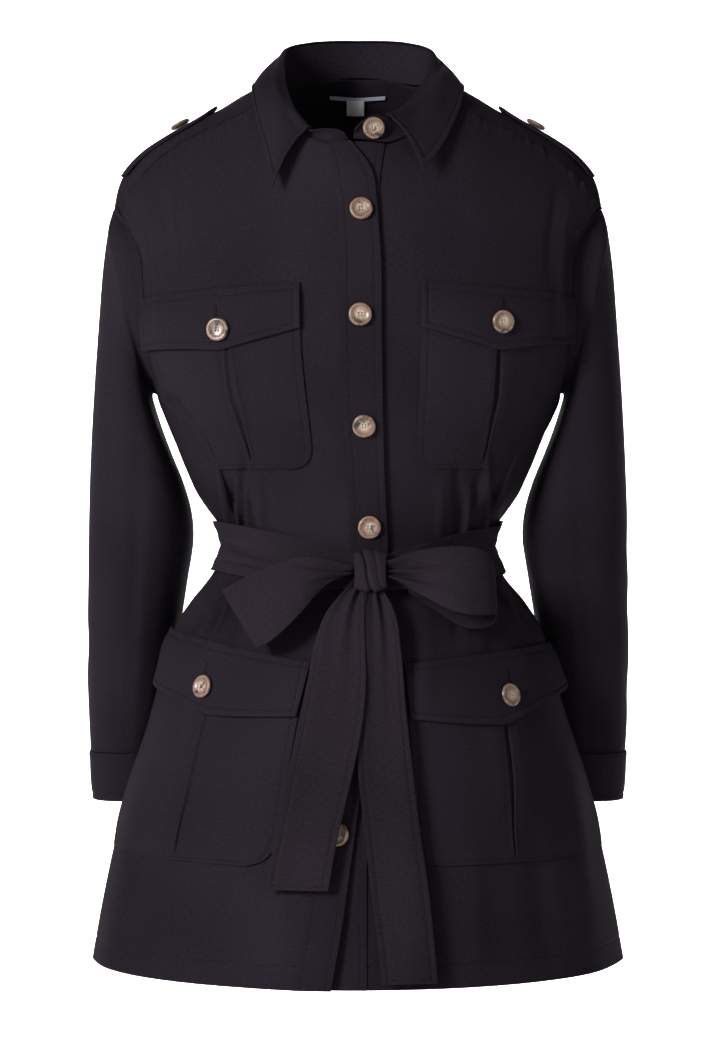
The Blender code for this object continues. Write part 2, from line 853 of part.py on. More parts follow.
def ring(row, side, angles, square):
    """Points of one sleeve ring from its outer point round the front."""
    xo, zo, xi, zi, yc, depth = row
    middle = Vector(((xo + xi) / 2, yc, (zo + zi) / 2))
    half = Vector(((xo - xi) / 2, 0, (zo - zi) / 2))
    points = []
    for alpha in angles:
        c = math.cos(alpha)
        s = math.sin(alpha)
        r = (abs(c) ** square + abs(s) ** square) ** (-1 / square)
        p = middle + half * (c * r) + Vector((0, -depth * s * r, 0))
        p.x *= side
        points.append(p)
    return points


def armhole_ring(side, angles):
    """First ring of a sleeve, just inside the armhole edge."""
    hole = Vector((side * HOLE_X, 0, HOLE_Z))
    points = []
    for alpha in angles:
        p = armhole_point(alpha, side)
        ahead = armhole_point(alpha + 0.02, side) - armhole_point(alpha - 0.02, side)
        across = Vector((side, -0.35 * math.sin(alpha), 0.3 * max(0.0, math.cos(alpha)))).normalized()
        inward = ahead.cross(across).normalized()
        if inward.dot(hole - p) < 0:
            inward.negate()
        points.append(p + inward * 0.8)
    return points


for side, tag in ((-1, "_l"), (1, "_r")):
    angles = ring_angles(side)
    rings = [armhole_ring(side, angles)]
    for row in SLEEVE:
        placed = ring(row, side, angles, SLEEVE_SQUARE)
        rings.append([clear_of_body(p, 2 * PANEL + 2.2) if p.z < -150 else p for p in placed])
    sheet_from_points("sleeve" + tag, rings, PANEL, cloth_mat, wrapped=True, flip=side > 0)
    rings = []
    for row in CUFF:
        placed = ring(row, side, angles, SLEEVE_SQUARE)
        rings.append([clear_of_body(p, 2 * PANEL + 3.0) for p in placed])
    sheet_from_points("cuff" + tag, rings, CUFF_WALL, cloth_mat, wrapped=True, flip=side > 0)


# Collar
# The stand rises from the neck seam; the leaf folds over its top edge and lies on the shoulders.
def shoulder_point(x, y):
    """Point of the yoke at a distance from the middle and from the crest."""
    far = abs(x)
    front = y < 0
    drop = CHEST_DROP if front else BACK_DROP
    top = blend(CREST, far, 1)
    z = top
    for _ in range(8):
        depth = blend(BODY, z, 2 if front else 3)
        n = blend(BODY, z, 4)
        a = blend(BODY, z, 1)
        depth *= (1 - min(0.9999, far / a) ** n) ** (1 / n)
        s = min(1.0, abs(y) / depth)
        z = top - drop * (1 - math.sqrt(1 - s * s))
    return Vector((x, y, z))


def above_body(point, room):
    """Moves a point outwards until it stands a given distance over the shoulders or the chest."""
    base = shoulder_point(point.x, point.y)
    step = 0.5
    rise_x = shoulder_point(point.x + step, point.y).z - shoulder_point(point.x - step, point.y).z
    rise_y = shoulder_point(point.x, point.y + step).z - shoulder_point(point.x, point.y - step).z
    normal = Vector((-rise_x, -rise_y, 2 * step)).normalized()
    distance = (point.z - base.z) * normal.z
    if distance < room:
        point = point + normal * min(room, room - distance)
    return point


def bend(a, b, c, t):
    """Point of a bend from a to c, pulled towards b."""
    return a * (1 - t) ** 2 + b * 2 * t * (1 - t) + c * t * t


stand_rows = [[], [], [], []]
leaf_rows = [[] for _ in range(8)]
for index, row in enumerate(COLLAR):
    neck = Vector(row[0:3])
    roll = Vector(row[3:6])
    outward = Vector((neck.x * 1.1, neck.y + 5, 0)).normalized()
    lifted = neck + Vector((0, 0, 2.2)) - outward * 1.2
    top = roll - Vector((0, 0, 0.8))
    for k in range(4):
        t = k / 3
        p = lifted.lerp(top, t) - outward * 3.3 * math.sin(math.pi * t)
        stand_rows[k].append(p)
    if row[6] is None:
        continue
    edge = Vector(row[6])
    out = Vector((edge.x - roll.x, edge.y - roll.y, 0)).normalized()
    shoulder = roll + out * 6.8 - Vector((0, 0, 3.2))
    pull = roll.lerp(edge, 0.35) + out * 9 + Vector((0, 0, 5))
    arc = [roll - out * 0.9 + Vector((0, 0, 1.4)), roll + out * 3.2 + Vector((0, 0, 1.2))]
    for t in (0.0, 0.2, 0.42, 0.66, 0.84, 1.0):
        arc.append(above_body(bend(shoulder, pull, edge, t), PANEL + 3.9))
    for k, p in enumerate(arc):
        leaf_rows[k].append(p)
sheet_from_points("collar_stand", stand_rows, PANEL, cloth_mat, lift=-0.5 * PANEL)
sheet_from_points("collar_leaf", leaf_rows, PANEL, cloth_mat, lift=-0.5 * PANEL)


# Pockets
# Each patch pocket is made from the points of its front, moved out, with a pleat down its middle.
def pocket(name, side, size):
    top, bottom, radius = size
    corner = [(1.0, 0.0), (0.5, 0.14), (0.15, 0.5), (0.0, 1.0)]
    rows = [top] + [z for z in LEVELS if bottom + radius + 3 < z < top - 3]
    inset = [0.0] * len(rows) + [c[1] for c in corner]
    rows += [bottom + radius * c[0] for c in corner]
    open_at = [math.sin(math.pi * min(1.0, 1.25 * (top - z) / (top - bottom))) for z in rows]

    def place(i, j):
        z = rows[j]
        shares = columns_at(z, side)
        width = abs(skin(arm_angle(z), z, 1).x - side * abs_seam(z, side))
        first = 2
        pleat = PLEAT_COLUMN
        inner = [(c, shares[c]) for c in range(first, pleat)]
        outer = [(c, shares[c]) for c in range(pleat + 1, OUTER_COLUMN + 1)]
        cut = inset[j] * radius / width
        near = 4.5 / width
        centre = shares[pleat]
        squeeze = 1 - cut / (centre - inner[0][1])
        inner = [(c, centre - (centre - u) * squeeze) for c, u in inner]
        corner_share = outer[-1][1]
        mark = panel_point(corner_share, z, side)
        while (panel_point(corner_share, z, side) - mark).length < 0.8 * inset[j] * radius:
            corner_share -= 0.002
        before = outer[-3][1]
        outer[-1] = (outer[-1][0], corner_share)
        outer[-2] = (outer[-2][0], min(outer[-2][1], before + 0.6 * (corner_share - before)))
        line = inner + [(pleat, centre - near), (pleat, centre), (pleat, centre + near)] + outer
        column, share = line[i]

        def spot(u, v):
            return panel_point(u, v, side)

        normal = normal_at(spot, share, z)
        lift = PANEL + CLEAR + 0.15 + max(0.0, lap_lift(column + 2, z, side))
        lift += max(0.0, gather(column, z))
        if line[i][0] == pleat and i != len(inner) + 1:
            lift += 1.6 * max(0.0, open_at[j])
        return spot(share, z) + normal * lift, normal

    count = (PLEAT_COLUMN - 2) + 3 + (OUTER_COLUMN - PLEAT_COLUMN)
    return cloth(name, count - 1, len(rows) - 1, place, PATCH, cloth_mat)


for side, tag in ((-1, "_l"), (1, "_r")):
    pocket("breast_pocket" + tag, side, BREAST_POCKET)
    pocket("hip_pocket" + tag, side, HIP_POCKET)


# Flaps
# A pointed flap hangs over the mouth of each pocket, sewn down along its top edge.
def flap(name, side, table, outer_end):
    steps = [0.0, 0.06, 0.3, 0.62, 1.0]

    def place(i, j):
        shares = columns_at(0.5 * (table[0][1] + table[0][2]), side)
        inner = shares[2]
        line = [s for s in shares[2:] if s < outer_end - 0.004] + [outer_end]
        share = line[i]
        along = (share - inner) / (outer_end - inner)
        top = straight(table, along, 1)
        bottom = straight(table, along, 2)
        t = steps[j]
        z = top + (bottom - top) * t
        share_here = share
        if share == inner:
            share_here = line_share(z, side, 1)

        def spot(u, v):
            return panel_point(u, v, side)

        normal = normal_at(spot, share_here, z)
        rise = min(1.0, t / 0.3)
        lift = PANEL + CLEAR + 0.35 + rise * (PATCH + 1.3) + straight(table, along, 3) * t
        column = min(FRONT_COLUMNS, i + 4)
        lift += max(0.0, lap_lift(column, z, side)) + 1.2 * blend(GATHER, z, 1)
        return spot(share_here, z) + normal * lift, normal

    shares = columns_at(0.5 * (table[0][1] + table[0][2]), side)
    count = len([s for s in shares[2:] if s < outer_end - 0.004]) + 1
    return cloth(name, count - 1, len(steps) - 1, place, FLAP, cloth_mat)


for side, tag in ((-1, "_l"), (1, "_r")):
    flap("breast_flap" + tag, side, BREAST_FLAP[side], 0.99)
    flap("hip_flap" + tag, side, HIP_FLAP[side], 0.985)


# Shoulder straps
# A strap lies along each shoulder from the armhole towards the neck, its free end buttoned down.
STRAP = [
    (204, 7, 16.5, 0.0),
    (197, 5, 17.5, 0.0),
    (187, 3, 18.5, 0.0),
    (174, 1, 19, 0.0),
    (160, 0, 19, 0.2),
    (146, 0, 19, 0.6),
    (137, 0, 18, 1.4),
    (130, 0, 14, 2.2),
    (125, 0, 6, 2.6),
]
for side, tag in ((-1, "_l"), (1, "_r")):
    rows = []
    for x, bulge, half, lift in STRAP:
        line = []
        for t in (-1.0, -0.5, 0.0, 0.5, 1.0):
            far = x + bulge * (1 - t * t)
            line.append(shoulder_point(side * far, half * t) + Vector((0, 0, lift)))
        rows.append(line)
    sheet_from_points("epaulette" + tag, rows, FLAP, cloth_mat, lift=PANEL + 0.9, flip=side < 0)

# Belt
# A sash goes round the waist over everything, tied in a knot in front with two loops and two tails.
BELT_AROUND = 36
BELT_Z = -408
BELT_DIP = 24
KNOT_AT = 10
BELT_ROWS = [(21.5, 1.0), (14, 1.0), (3, 0.2), (0, -0.4), (-4, 0.5), (-14, 0.9), (-21.5, 0.6)]


def belt_place(i, j):
    theta = 360 * i / BELT_AROUND
    side = 1 if theta <= 180 else -1
    half = theta if theta <= 180 else 360 - theta
    x = skin(half, BELT_Z, side).x
    near = max(0.0, 1 - abs(x - KNOT_AT) / 125) if half < 90 else 0.0
    z = BELT_Z - BELT_DIP * near + BELT_ROWS[j][0] * (1 - 0.4 * near**3)
    n = Vector((side * math.sin(math.radians(half)), -math.cos(math.radians(half)), 0)).normalized()
    wide = max(0.0, 1 - max(0.0, abs(x - 8) - 40) / 34) if half < 90 else 0.0
    under = skin(half, z, side)
    lift = 4.0 + 4.4 * min(1.0, wide) + BELT_ROWS[j][1]
    return under + n * lift, n


cloth("belt_band", BELT_AROUND, len(BELT_ROWS) - 1, belt_place, BELT, belt_mat, wrapped=True)

KNOT = (10.5, -428.5, 16.5, 18.5, 9.5)
knot_x, knot_z, knot_w, knot_h, knot_d = KNOT
knot_y = front_point(knot_x, knot_z).y - 20.9
KNOT_LEAN = 0.36
bm = bmesh.new()
bmesh.ops.create_uvsphere(bm, u_segments=16, v_segments=9, radius=1.0)
for vert in bm.verts:
    p = vert.co
    square = 3.0
    r = (abs(p.x) ** square + abs(p.y) ** square + abs(p.z) ** square) ** (-1 / square)
    q = p * r
    waist = 1 - 0.1 * (1 - q.z * q.z)
    y = knot_y + knot_d * q.y + KNOT_LEAN * knot_h * q.z
    vert.co = Vector((knot_x + knot_w * q.x * waist, y, knot_z + knot_h * q.z)) * MM
keep(bm, "belt_knot", belt_mat)


def loop_points(table):
    """Grid of a belt loop: out in front, round its fold and back behind."""
    rows = []
    for ox, oz, ix, iz, depth in table:
        line = []
        for t in (0.0, 0.25, 0.5, 0.75, 1.0):
            x = ox + (ix - ox) * t
            z = oz + (iz - oz) * t
            bow = 3.0 * math.sin(math.pi * t) * (1 if depth > 0 else -0.4)
            base = knot_y + 3 + KNOT_LEAN * (z - knot_z) + 0.0012 * x * x
            line.append(Vector((x, base - depth - bow, z)))
        rows.append(line)
    return rows


sheet_from_points("belt_loop_l", loop_points(LOOP_L), BELT, belt_mat, lift=-0.5 * BELT)
sheet_from_points("belt_loop_r", loop_points(LOOP_R), BELT, belt_mat, lift=-0.5 * BELT)


def tail_points(table):
    rows = []
    for z, left, right, lift in table:
        rows.append([over_front(left + (right - left) * t, z, lift) for t in (0.0, 0.33, 0.67, 1.0)])
    return rows


sheet_from_points("belt_tail_l", tail_points(TAIL_L), BELT, belt_mat)
sheet_from_points("belt_tail_r", tail_points(TAIL_R), BELT, belt_mat)


# Neck tape and label
# A light strip is sewn inside the back neck with a small white label under it.
def inside_neck(x, z, inset):
    p = skin(angle_of(x, z, False), z, -1 if x < 0 else 1)
    ahead = skin(angle_of(x, z - 0.5, False), z - 0.5, -1 if x < 0 else 1)
    n = Vector((-0.25 * x / 76, 1, 0)).normalized()
    slope = (p - ahead).normalized()
    n = (n - slope * n.dot(slope)).normalized()
    if n.y < 0:
        n.negate()
    return p - n * inset


TAPE_INSET = 1.9
LABEL_INSET = 3.0
tape = [[inside_neck(x, z, TAPE_INSET) for x in (-26, -13, 0, 13, 25)] for z in (8.8, 5.8)]
sheet_from_points("neck_tape", tape, TAPE_WALL, tape_mat, flip=True)
tag_points = [[inside_neck(x, z, LABEL_INSET) for x in (-10.5, -2.4, 5.6)] for z in (6.4, 0.5, -6.8)]
sheet_from_points("size_label", tag_points, LABEL_WALL, label_mat, flip=True)


# Buttons
# Round horn buttons with a thick rim, lying on the strip, the flaps, the straps and the band end.
BUTTON_PROFILE = [(0.0, 0.0), (0.72, 0.0), (1.0, 0.42), (0.93, 0.9), (0.8, 1.0), (0.66, 0.72), (0.0, 0.62)]


def button(name, centre, normal, radius=BUTTON_R):
    """Turned button: its profile is spun round its axis."""
    bm = bmesh.new()
    verts = [bm.verts.new((r * radius, 0, h * BUTTON_H)) for r, h in BUTTON_PROFILE]
    edges = [bm.edges.new(pair) for pair in zip(verts, verts[1:])]
    bmesh.ops.spin(
        bm,
        geom=verts + edges,
        cent=(0, 0, 0),
        axis=(0, 0, 1),
        angle=2 * math.pi,
        steps=12,
        use_merge=True,
        use_normal_flip=False,
        use_duplicate=False,
    )
    bmesh.ops.remove_doubles(bm, verts=bm.verts, dist=1e-4)
    turn = normal.to_track_quat("Z", "Y").to_matrix().to_4x4()
    bmesh.ops.transform(bm, matrix=Matrix.Translation(centre) @ turn, verts=bm.verts)
    bmesh.ops.scale(bm, vec=(MM, MM, MM), verts=bm.verts)
    return keep(bm, name, horn_mat)


for index, (z, x) in enumerate(FRONT_BUTTONS):
    lift = blend(LAP_LIFT, z, 1) + PANEL + SEAM + PATCH + 0.6
    button("button_%d" % (index + 1), over_front(x, z, lift), front_normal(x, z))
band_normal = Vector(BAND_FACING).normalized()
button("button_collar", Vector(BAND_BUTTON), band_normal, SMALL_BUTTON_R)
flap_top = 2 * PANEL + PATCH + 3.4
for side, tag in ((-1, "_l"), (1, "_r")):
    x, z = BREAST_BUTTON[side]
    button("button_breast" + tag, over_front(x, z, flap_top), front_normal(x, z))
    x, z = HIP_BUTTON[side]
    button("button_hip" + tag, over_front(x, z, flap_top + 0.8), front_normal(x, z))
    x = side * STRAP_BUTTON_X
    low = shoulder_point(x - 2, 0)
    high = shoulder_point(x + 2, 0)
    slope = (high - low).normalized()
    normal = Vector((-slope.z, 0, slope.x)).normalized()
    if normal.z < 0:
        normal.negate()
    foot = shoulder_point(x, -2) + normal * (PANEL + FLAP + 1.7)
    button("button_epaulette" + tag, foot, normal, SMALL_BUTTON_R)
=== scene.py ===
"""Safari jacket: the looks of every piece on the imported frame.

Metres in the scene, millimetres in the tables. +Z is up and the front faces -Y. The names end in _l for the
side that is at the left of the front view.
"""
import json
import math

import bmesh
import bpy
import numpy as np
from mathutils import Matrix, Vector

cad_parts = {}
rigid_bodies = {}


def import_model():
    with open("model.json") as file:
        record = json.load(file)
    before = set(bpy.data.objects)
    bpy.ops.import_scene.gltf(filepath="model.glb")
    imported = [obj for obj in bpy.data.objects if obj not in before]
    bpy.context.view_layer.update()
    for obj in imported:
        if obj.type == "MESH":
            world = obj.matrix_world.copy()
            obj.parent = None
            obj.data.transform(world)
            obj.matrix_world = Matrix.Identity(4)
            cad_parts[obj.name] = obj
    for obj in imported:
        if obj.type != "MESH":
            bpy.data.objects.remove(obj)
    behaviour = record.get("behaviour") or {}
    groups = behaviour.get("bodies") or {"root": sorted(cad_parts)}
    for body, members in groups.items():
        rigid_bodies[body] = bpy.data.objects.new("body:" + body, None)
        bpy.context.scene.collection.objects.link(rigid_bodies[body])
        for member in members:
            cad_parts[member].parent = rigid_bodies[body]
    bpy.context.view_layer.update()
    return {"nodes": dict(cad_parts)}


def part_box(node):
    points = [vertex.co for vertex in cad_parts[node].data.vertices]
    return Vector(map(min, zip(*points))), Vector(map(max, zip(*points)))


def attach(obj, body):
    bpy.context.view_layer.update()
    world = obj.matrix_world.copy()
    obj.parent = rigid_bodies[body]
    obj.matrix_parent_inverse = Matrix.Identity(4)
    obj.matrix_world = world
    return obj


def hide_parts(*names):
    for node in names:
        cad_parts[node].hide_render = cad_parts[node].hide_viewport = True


for old in list(bpy.data.objects):
    bpy.data.objects.remove(old)
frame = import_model()


# Fronts
# Two panels of dark twill suiting hang from the neck and yoke seams to the hem. The one at the left laps
# over the other. Small gathers are sewn into the yoke seam, and the cloth breaks into soft folds above and
# below the belt.
MM = 0.001
PANEL_WALL = 1.2
CLOTH_DARK = "1D191F"
CLOTH_LIGHT = "2F2931"
RIB_PITCH = 0.9
ONE_WAVE = 0.314  # scale of a wave texture whose bands lie 1 m apart
STITCH_PITCH = 3.1


def linear(code):
    """Linear colour of an sRGB hex value."""
    found = []
    for k in (0, 2, 4):
        c = int(code[k : k + 2], 16) / 255
        found.append(c / 12.92 if c <= 0.04045 else ((c + 0.055) / 1.055) ** 2.4)
    return (*found, 1.0)


def feed(tree, node, inputs):
    """Feeds a node's sockets from values or from other nodes' sockets."""
    for key, value in dict(inputs).items():
        if isinstance(value, bpy.types.NodeSocket):
            tree.links.new(value, node.inputs[key])
        else:
            node.inputs[key].default_value = value


def add(tree, kind, inputs=(), out=0, **settings):
    """Adds a node, sets its properties, feeds its sockets and returns one of its outputs."""
    made = tree.nodes.new("ShaderNode" + kind)
    for name, value in settings.items():
        setattr(made, name, value)
    feed(tree, made, inputs)
    return made.outputs[out]


def new_finish(name):
    """Empty material with its tree and its surface shader."""
    finish = bpy.data.materials.new(name)
    finish.use_nodes = True
    tree = finish.node_tree
    return finish, tree, tree.nodes["Principled BSDF"]


def twill(name, dark, light):
    """Twill suiting, woven from polyester and viscose: fine diagonal ribs, a matt face, a faint bloom at edges.
    The real ribs are 0.5 mm apart. They are drawn 0.9 mm apart, as finer ones would vanish in the render."""
    finish, tree, shader = new_finish(name)
    place = add(tree, "UVMap", uv_map="weave")
    turned = add(tree, "Mapping", {"Vector": place, "Rotation": (0, 0, math.radians(52))})
    waves = {"Vector": turned, "Scale": ONE_WAVE / (RIB_PITCH * MM), "Distortion": 0.6, "Detail": 1.0}
    ribs = add(tree, "TexWave", waves, "Fac")
    yarn = add(tree, "TexNoise", {"Vector": place, "Scale": 1 / (0.9 * MM), "Detail": 3.0})
    slub = add(tree, "TexNoise", {"Vector": place, "Scale": 1 / (2.2 * MM), "Detail": 2.0})
    cloud = add(tree, "TexNoise", {"Vector": place, "Scale": 1 / (140 * MM), "Detail": 1.0})
    fleck = add(tree, "Math", {0: yarn, 1: slub}, operation="ADD")
    spread = add(tree, "Math", {0: fleck, 1: cloud}, operation="ADD")
    tone = add(tree, "MapRange", {"Value": spread, "From Min": 1.05, "From Max": 1.95})
    relief = add(tree, "Math", {0: ribs, 1: yarn, 2: 0.6}, operation="MULTIPLY_ADD")
    worn = {
        "Base Color": add(tree, "Mix", {0: tone, 6: linear(dark), 7: linear(light)}, 2, data_type="RGBA"),
        "Normal": add(tree, "Bump", {"Height": relief, "Distance": 0.12 * MM, "Strength": 0.55}),
        "Roughness": add(tree, "MapRange", {"Value": yarn, "To Min": 0.72, "To Max": 0.9}),
        "IOR": 1.45,
        "Specular IOR Level": 0.012,
        "Sheen Weight": 0.012,
        "Sheen Roughness": 0.45,
        "Sheen Tint": linear("B9B4C8"),
    }
    feed(tree, shader, worn)
    return finish


jacket_cloth = twill("twill_suiting_woven", CLOTH_DARK, CLOTH_LIGHT)


def outer_side(bm, heart):
    """Faces of the side of an open shell pair that looks away from the heart of the piece."""
    sides = []
    left = set(bm.faces)
    while left:
        seed = left.pop()
        group = {seed}
        edge = [seed]
        while edge:
            face = edge.pop()
            near = {f for e in face.edges for f in e.link_faces} & left
            left -= near
            group |= near
            edge.extend(near)
        sides.append(group)

    def looks_out(group):
        total = 0.0
        for face in group:
            middle = face.calc_center_median()
            inner = Vector((0, 0, middle.z)) if heart is None else heart
            total += face.calc_area() * face.normal.dot(middle - inner)
        return total

    return max(sides, key=looks_out)


def outlines(third):
    """Closed lines of points round the open edges, from the table of which corner faces each edge. They follow
    the order of the points' numbers, so that every run reads the same grid."""
    ahead = {}
    for pair, corners in third.items():
        if len(corners) == 1:
            for a in pair:
                ahead.setdefault(a, []).extend(b for b in pair if b is not a)
    for near in ahead.values():
        near.sort(key=lambda v: v.index)
    found = []
    used = set()
    for start in sorted(ahead, key=lambda v: v.index):
        if start in used:
            continue
        line = [start]
        used.add(start)
        step = [v for v in ahead[start] if v not in used]
        while step:
            line.append(step[0])
            used.add(step[0])
            step = [v for v in ahead[line[-1]] if v not in used]
        found.append(line)
    return found


def turning(line, k):
    """How sharply an outline turns at one of its points."""
    before = (line[k].co - line[k - 1].co).normalized()
    after = (line[(k + 1) % len(line)].co - line[k].co).normalized()
    return before.angle(after, 0.0)


def walk_edge(line, runs):
    """Places the points of an outline on a grid, its runs between corners being known."""
    corners = np.cumsum([count for count, _, _ in runs])
    best = None
    for way in (line, line[::-1]):
        turns = [turning(way, k) for k in range(len(way))]
        for start in range(len(way)):
            score = sum(turns[(start + c) % len(way)] for c in corners)
            if best is None or score > best[0] + 1e-6:
                best = (score, way, start)
    _, way, start = best
    spots = {}
    i = j = k = 0
    for count, di, dj in runs:
        for _ in range(count):
            spots[(i, j)] = way[(start + k) % len(way)]
            i, j, k = i + di, j + dj, k + 1
    return spots


def fourth(third, corner, right, below, known):
    """Last corner of a cell whose other three corners are known, a cell being two triangles."""
    across = third.get(frozenset((right, below)), [])
    if corner in across:
        return next(v for v in across if v is not corner)
    both = set(third.get(frozenset((corner, right)), ())) & set(third.get(frozenset((corner, below)), ()))
    return min(both - known, key=lambda v: v.index)


def grid_of(
    node, wall, columns, rows, heart=None, round_it=False,
    first=(0, 0, 1), start=(1, 0, 0), read_at=None, runs=None,
):
    """Outer points of a cloth solid of the frame, in millimetres: rows from its first edge down, columns from left
    to right as seen from outside. A round piece is read from the side read_at and begins at start."""
    tiny = 0.01 * MM
    bm = bmesh.new()
    bm.from_mesh(frame["nodes"][node].data)
    bmesh.ops.remove_doubles(bm, verts=bm.verts, dist=tiny)
    rims = [f for f in bm.faces if any(abs(e.calc_length() - wall * MM) < tiny for e in f.edges)]
    bmesh.ops.delete(bm, geom=rims, context="FACES")
    bm.normal_update()
    bm.verts.index_update()
    third = {}
    for face in outer_side(bm, heart):
        for k in range(3):
            pair = frozenset((face.verts[k], face.verts[k - 1]))
            third.setdefault(pair, []).append(face.verts[k - 2])
    lines = outlines(third)
    first = Vector(first)
    if round_it:
        line = max(lines, key=lambda rim: sum(v.co.dot(first) for v in rim))
        begin = max(range(columns), key=lambda k: line[k].co.dot(Vector(read_at or start)))
        spots = {(i, 0): v for i, v in enumerate(line[begin:] + line[:begin])}
    else:
        runs = runs or [(columns, 1, 0), (rows, 0, 1), (columns, -1, 0), (rows, 0, -1)]
        spots = walk_edge(lines[0], runs)
    known = set(spots.values())
    for j in range(1, rows + 1):
        if round_it:
            here = spots[(0, j - 1)]
            along = (spots[(1, j - 1)].co - spots[(columns - 1, j - 1)].co).normalized()
            near = [e.other_vert(here) for e in here.link_edges]
            near = [v for v in near if v not in known]
            spots[(0, j)] = min(near, key=lambda v: abs((v.co - here.co).normalized().dot(along)))
            known.add(spots[(0, j)])
        for i in range(1, columns + (0 if round_it else 1)):
            three = [spots.get(p) for p in ((i - 1, j - 1), (i, j - 1), (i - 1, j))]
            if (i, j) not in spots and None not in three:
                spots[(i, j)] = fourth(third, *three, known)
                known.add(spots[(i, j)])
    width = columns if round_it else columns + 1
    points = np.full((rows + 1, width, 3), np.nan)
    normals = np.full((rows + 1, width, 3), np.nan)
    for (i, j), vert in spots.items():
        points[j, i] = vert.co / MM
        normals[j, i] = vert.normal
    bm.free()
    if runs is None or len(runs) == 4:
        if (points[0].mean(0) - points[-1].mean(0)) @ np.array(first) < 0:
            points, normals = points[::-1], normals[::-1]
    down = points[1:, :-1] - points[:-1, :-1]
    across = points[:-1, 1:] - points[:-1, :-1]
    if np.nansum(np.cross(down, across) * normals[:-1, :-1]) < 0:
        points, normals = points[:, ::-1], normals[:, ::-1]
    if round_it:
        turn = int(np.argmax(points.mean(0) @ np.array(start)))
        points = np.roll(points, -turn, axis=1)
    return points


def knots_of(points, axis):
    """Distances along the rows or the columns, averaged over the piece."""
    steps = np.linalg.norm(np.diff(points, axis=axis), axis=2)
    return np.concatenate(([0.0], np.cumsum(np.nanmean(steps, axis=1 - axis))))


def reader(knots, at):
    """Matrix that reads a smooth curve through values at the knots."""
    count = len(knots)
    gap = np.diff(knots)
    slope = np.zeros((count - 1, count))
    for i in range(count - 1):
        slope[i, i] = -1 / gap[i]
        slope[i, i + 1] = 1 / gap[i]
    tangent = np.zeros((count, count))
    for i in range(1, count - 1):
        tangent[i] = (gap[i] * slope[i - 1] + gap[i - 1] * slope[i]) / (gap[i - 1] + gap[i])
    tangent[0] = 1.5 * slope[0] - 0.5 * tangent[1] if count > 2 else slope[0]
    tangent[-1] = 1.5 * slope[-1] - 0.5 * tangent[-2] if count > 2 else slope[-1]
    found = np.zeros((len(at), count))
    for row, x in enumerate(at):
        i = min(max(int(np.searchsorted(knots, x, side="right")) - 1, 0), count - 2)
        t = (x - knots[i]) / gap[i]
        found[row] = (2 * t**3 - 3 * t**2 + 1) * np.eye(count)[i] + (3 * t**2 - 2 * t**3) * np.eye(count)[i + 1]
        found[row] += gap[i] * ((t**3 - 2 * t**2 + t) * tangent[i] + (t**3 - t**2) * tangent[i + 1])
    return found


def even(knots, step, breaks=(), zones=()):
    """Places along the knots that meet the knots at the breaks. A zone (from, to, step) is finer. One that
    starts below zero is measured from the far end."""
    total = knots[-1]
    zones = [(low + total, high + total, fine) if low < 0 else (low, high, fine) for low, high, fine in zones]
    marks = {0.0, total, *[knots[b] for b in breaks]}
    marks |= {float(np.clip(edge, 0, total)) for zone in zones for edge in zone[:2]}
    marks = sorted(marks)
    found = [0.0]
    for low, high in zip(marks, marks[1:]):
        middle = 0.5 * (low + high)
        pace = min([step] + [fine for start, end, fine in zones if start <= middle <= end])
        count = max(1, math.ceil((high - low) / pace))
        found += [low + (high - low) * (k + 1) / count for k in range(count)]
    return np.array(found)


class Sheet:
    """Grid of cloth: p are its points in millimetres, u and v their distances from its left and its top."""

    def __init__(self, points, at_u, at_v, round_it=False):
        self.p = points
        self.u = np.broadcast_to(at_u, points.shape[:2])
        self.v = np.broadcast_to(at_v[:, None], points.shape[:2])
        self.width, self.height = at_u[-1], at_v[-1]
        self.round_it = round_it

    def normals(self):
        across = np.gradient(self.p, axis=1)
        down = np.gradient(self.p, axis=0)
        if self.round_it:
            across[:, 0] = across[:, -1] = self.p[:, 1] - self.p[:, -2]
        n = np.cross(down, across)
        return n / np.maximum(np.linalg.norm(n, axis=2, keepdims=True), 1e-9)

    def raise_by(self, lift):
        """Moves the cloth out by a height given for each of its points."""
        self.p = self.p + self.normals() * lift[..., None]
        return self

    @property
    def x(self):
        return self.p[..., 0]

    @property
    def y(self):
        return self.p[..., 1]

    @property
    def z(self):
        return self.p[..., 2]


def cloth(coarse, step_u, step_v, round_it=False, breaks_u=(), breaks_v=(), zones_u=(), zones_v=()):
    """Fine sheet read from a coarse grid of points."""
    if round_it:
        coarse = np.concatenate([coarse[:, -2:], coarse, coarse[:, :3]], axis=1)
    ku = knots_of(coarse, 1)
    kv = knots_of(coarse, 0)
    if round_it:
        low, high = ku[2], ku[-3]
        at_u = low + (high - low) * np.linspace(0, 1, math.ceil((high - low) / step_u) + 1)
    else:
        at_u = even(ku, step_u, breaks_u, zones_u)
    at_v = even(kv, step_v, breaks_v, zones_v)
    points = np.einsum("ar,rck,bc->abk", reader(kv, at_v), coarse, reader(ku, at_u))
    return Sheet(points, at_u - at_u[0], at_v, round_it)


def bump(at, middle, width):
    """Soft hump of height 1."""
    return np.exp(-(((at - middle) / width) ** 2))


def ramp(at, low, high):
    """Rises smoothly from 0 at low to 1 at high."""
    t = np.clip((at - low) / (high - low), 0, 1)
    return t * t * (3 - 2 * t)


def crease(x, z, ax, az, bx, bz, width, height, bow=0.0):
    """Soft trough or ridge along a line from one point of the front view to another, fading at both ends."""
    length = math.hypot(bx - ax, bz - az)
    dx, dz = (bx - ax) / length, (bz - az) / length
    along = (x - ax) * dx + (z - az) * dz
    off = (x - ax) * dz - (z - az) * dx
    off = off + bow * length * np.sin(math.pi * np.clip(along / length, 0, 1))
    share = np.clip(along / length, -0.2, 1.2)
    fade = np.where((share > 0) & (share < 1), np.sin(math.pi * np.clip(share, 0, 1)) ** 0.7, 0.0)
    return height * fade * np.exp(-((off / width) ** 2))


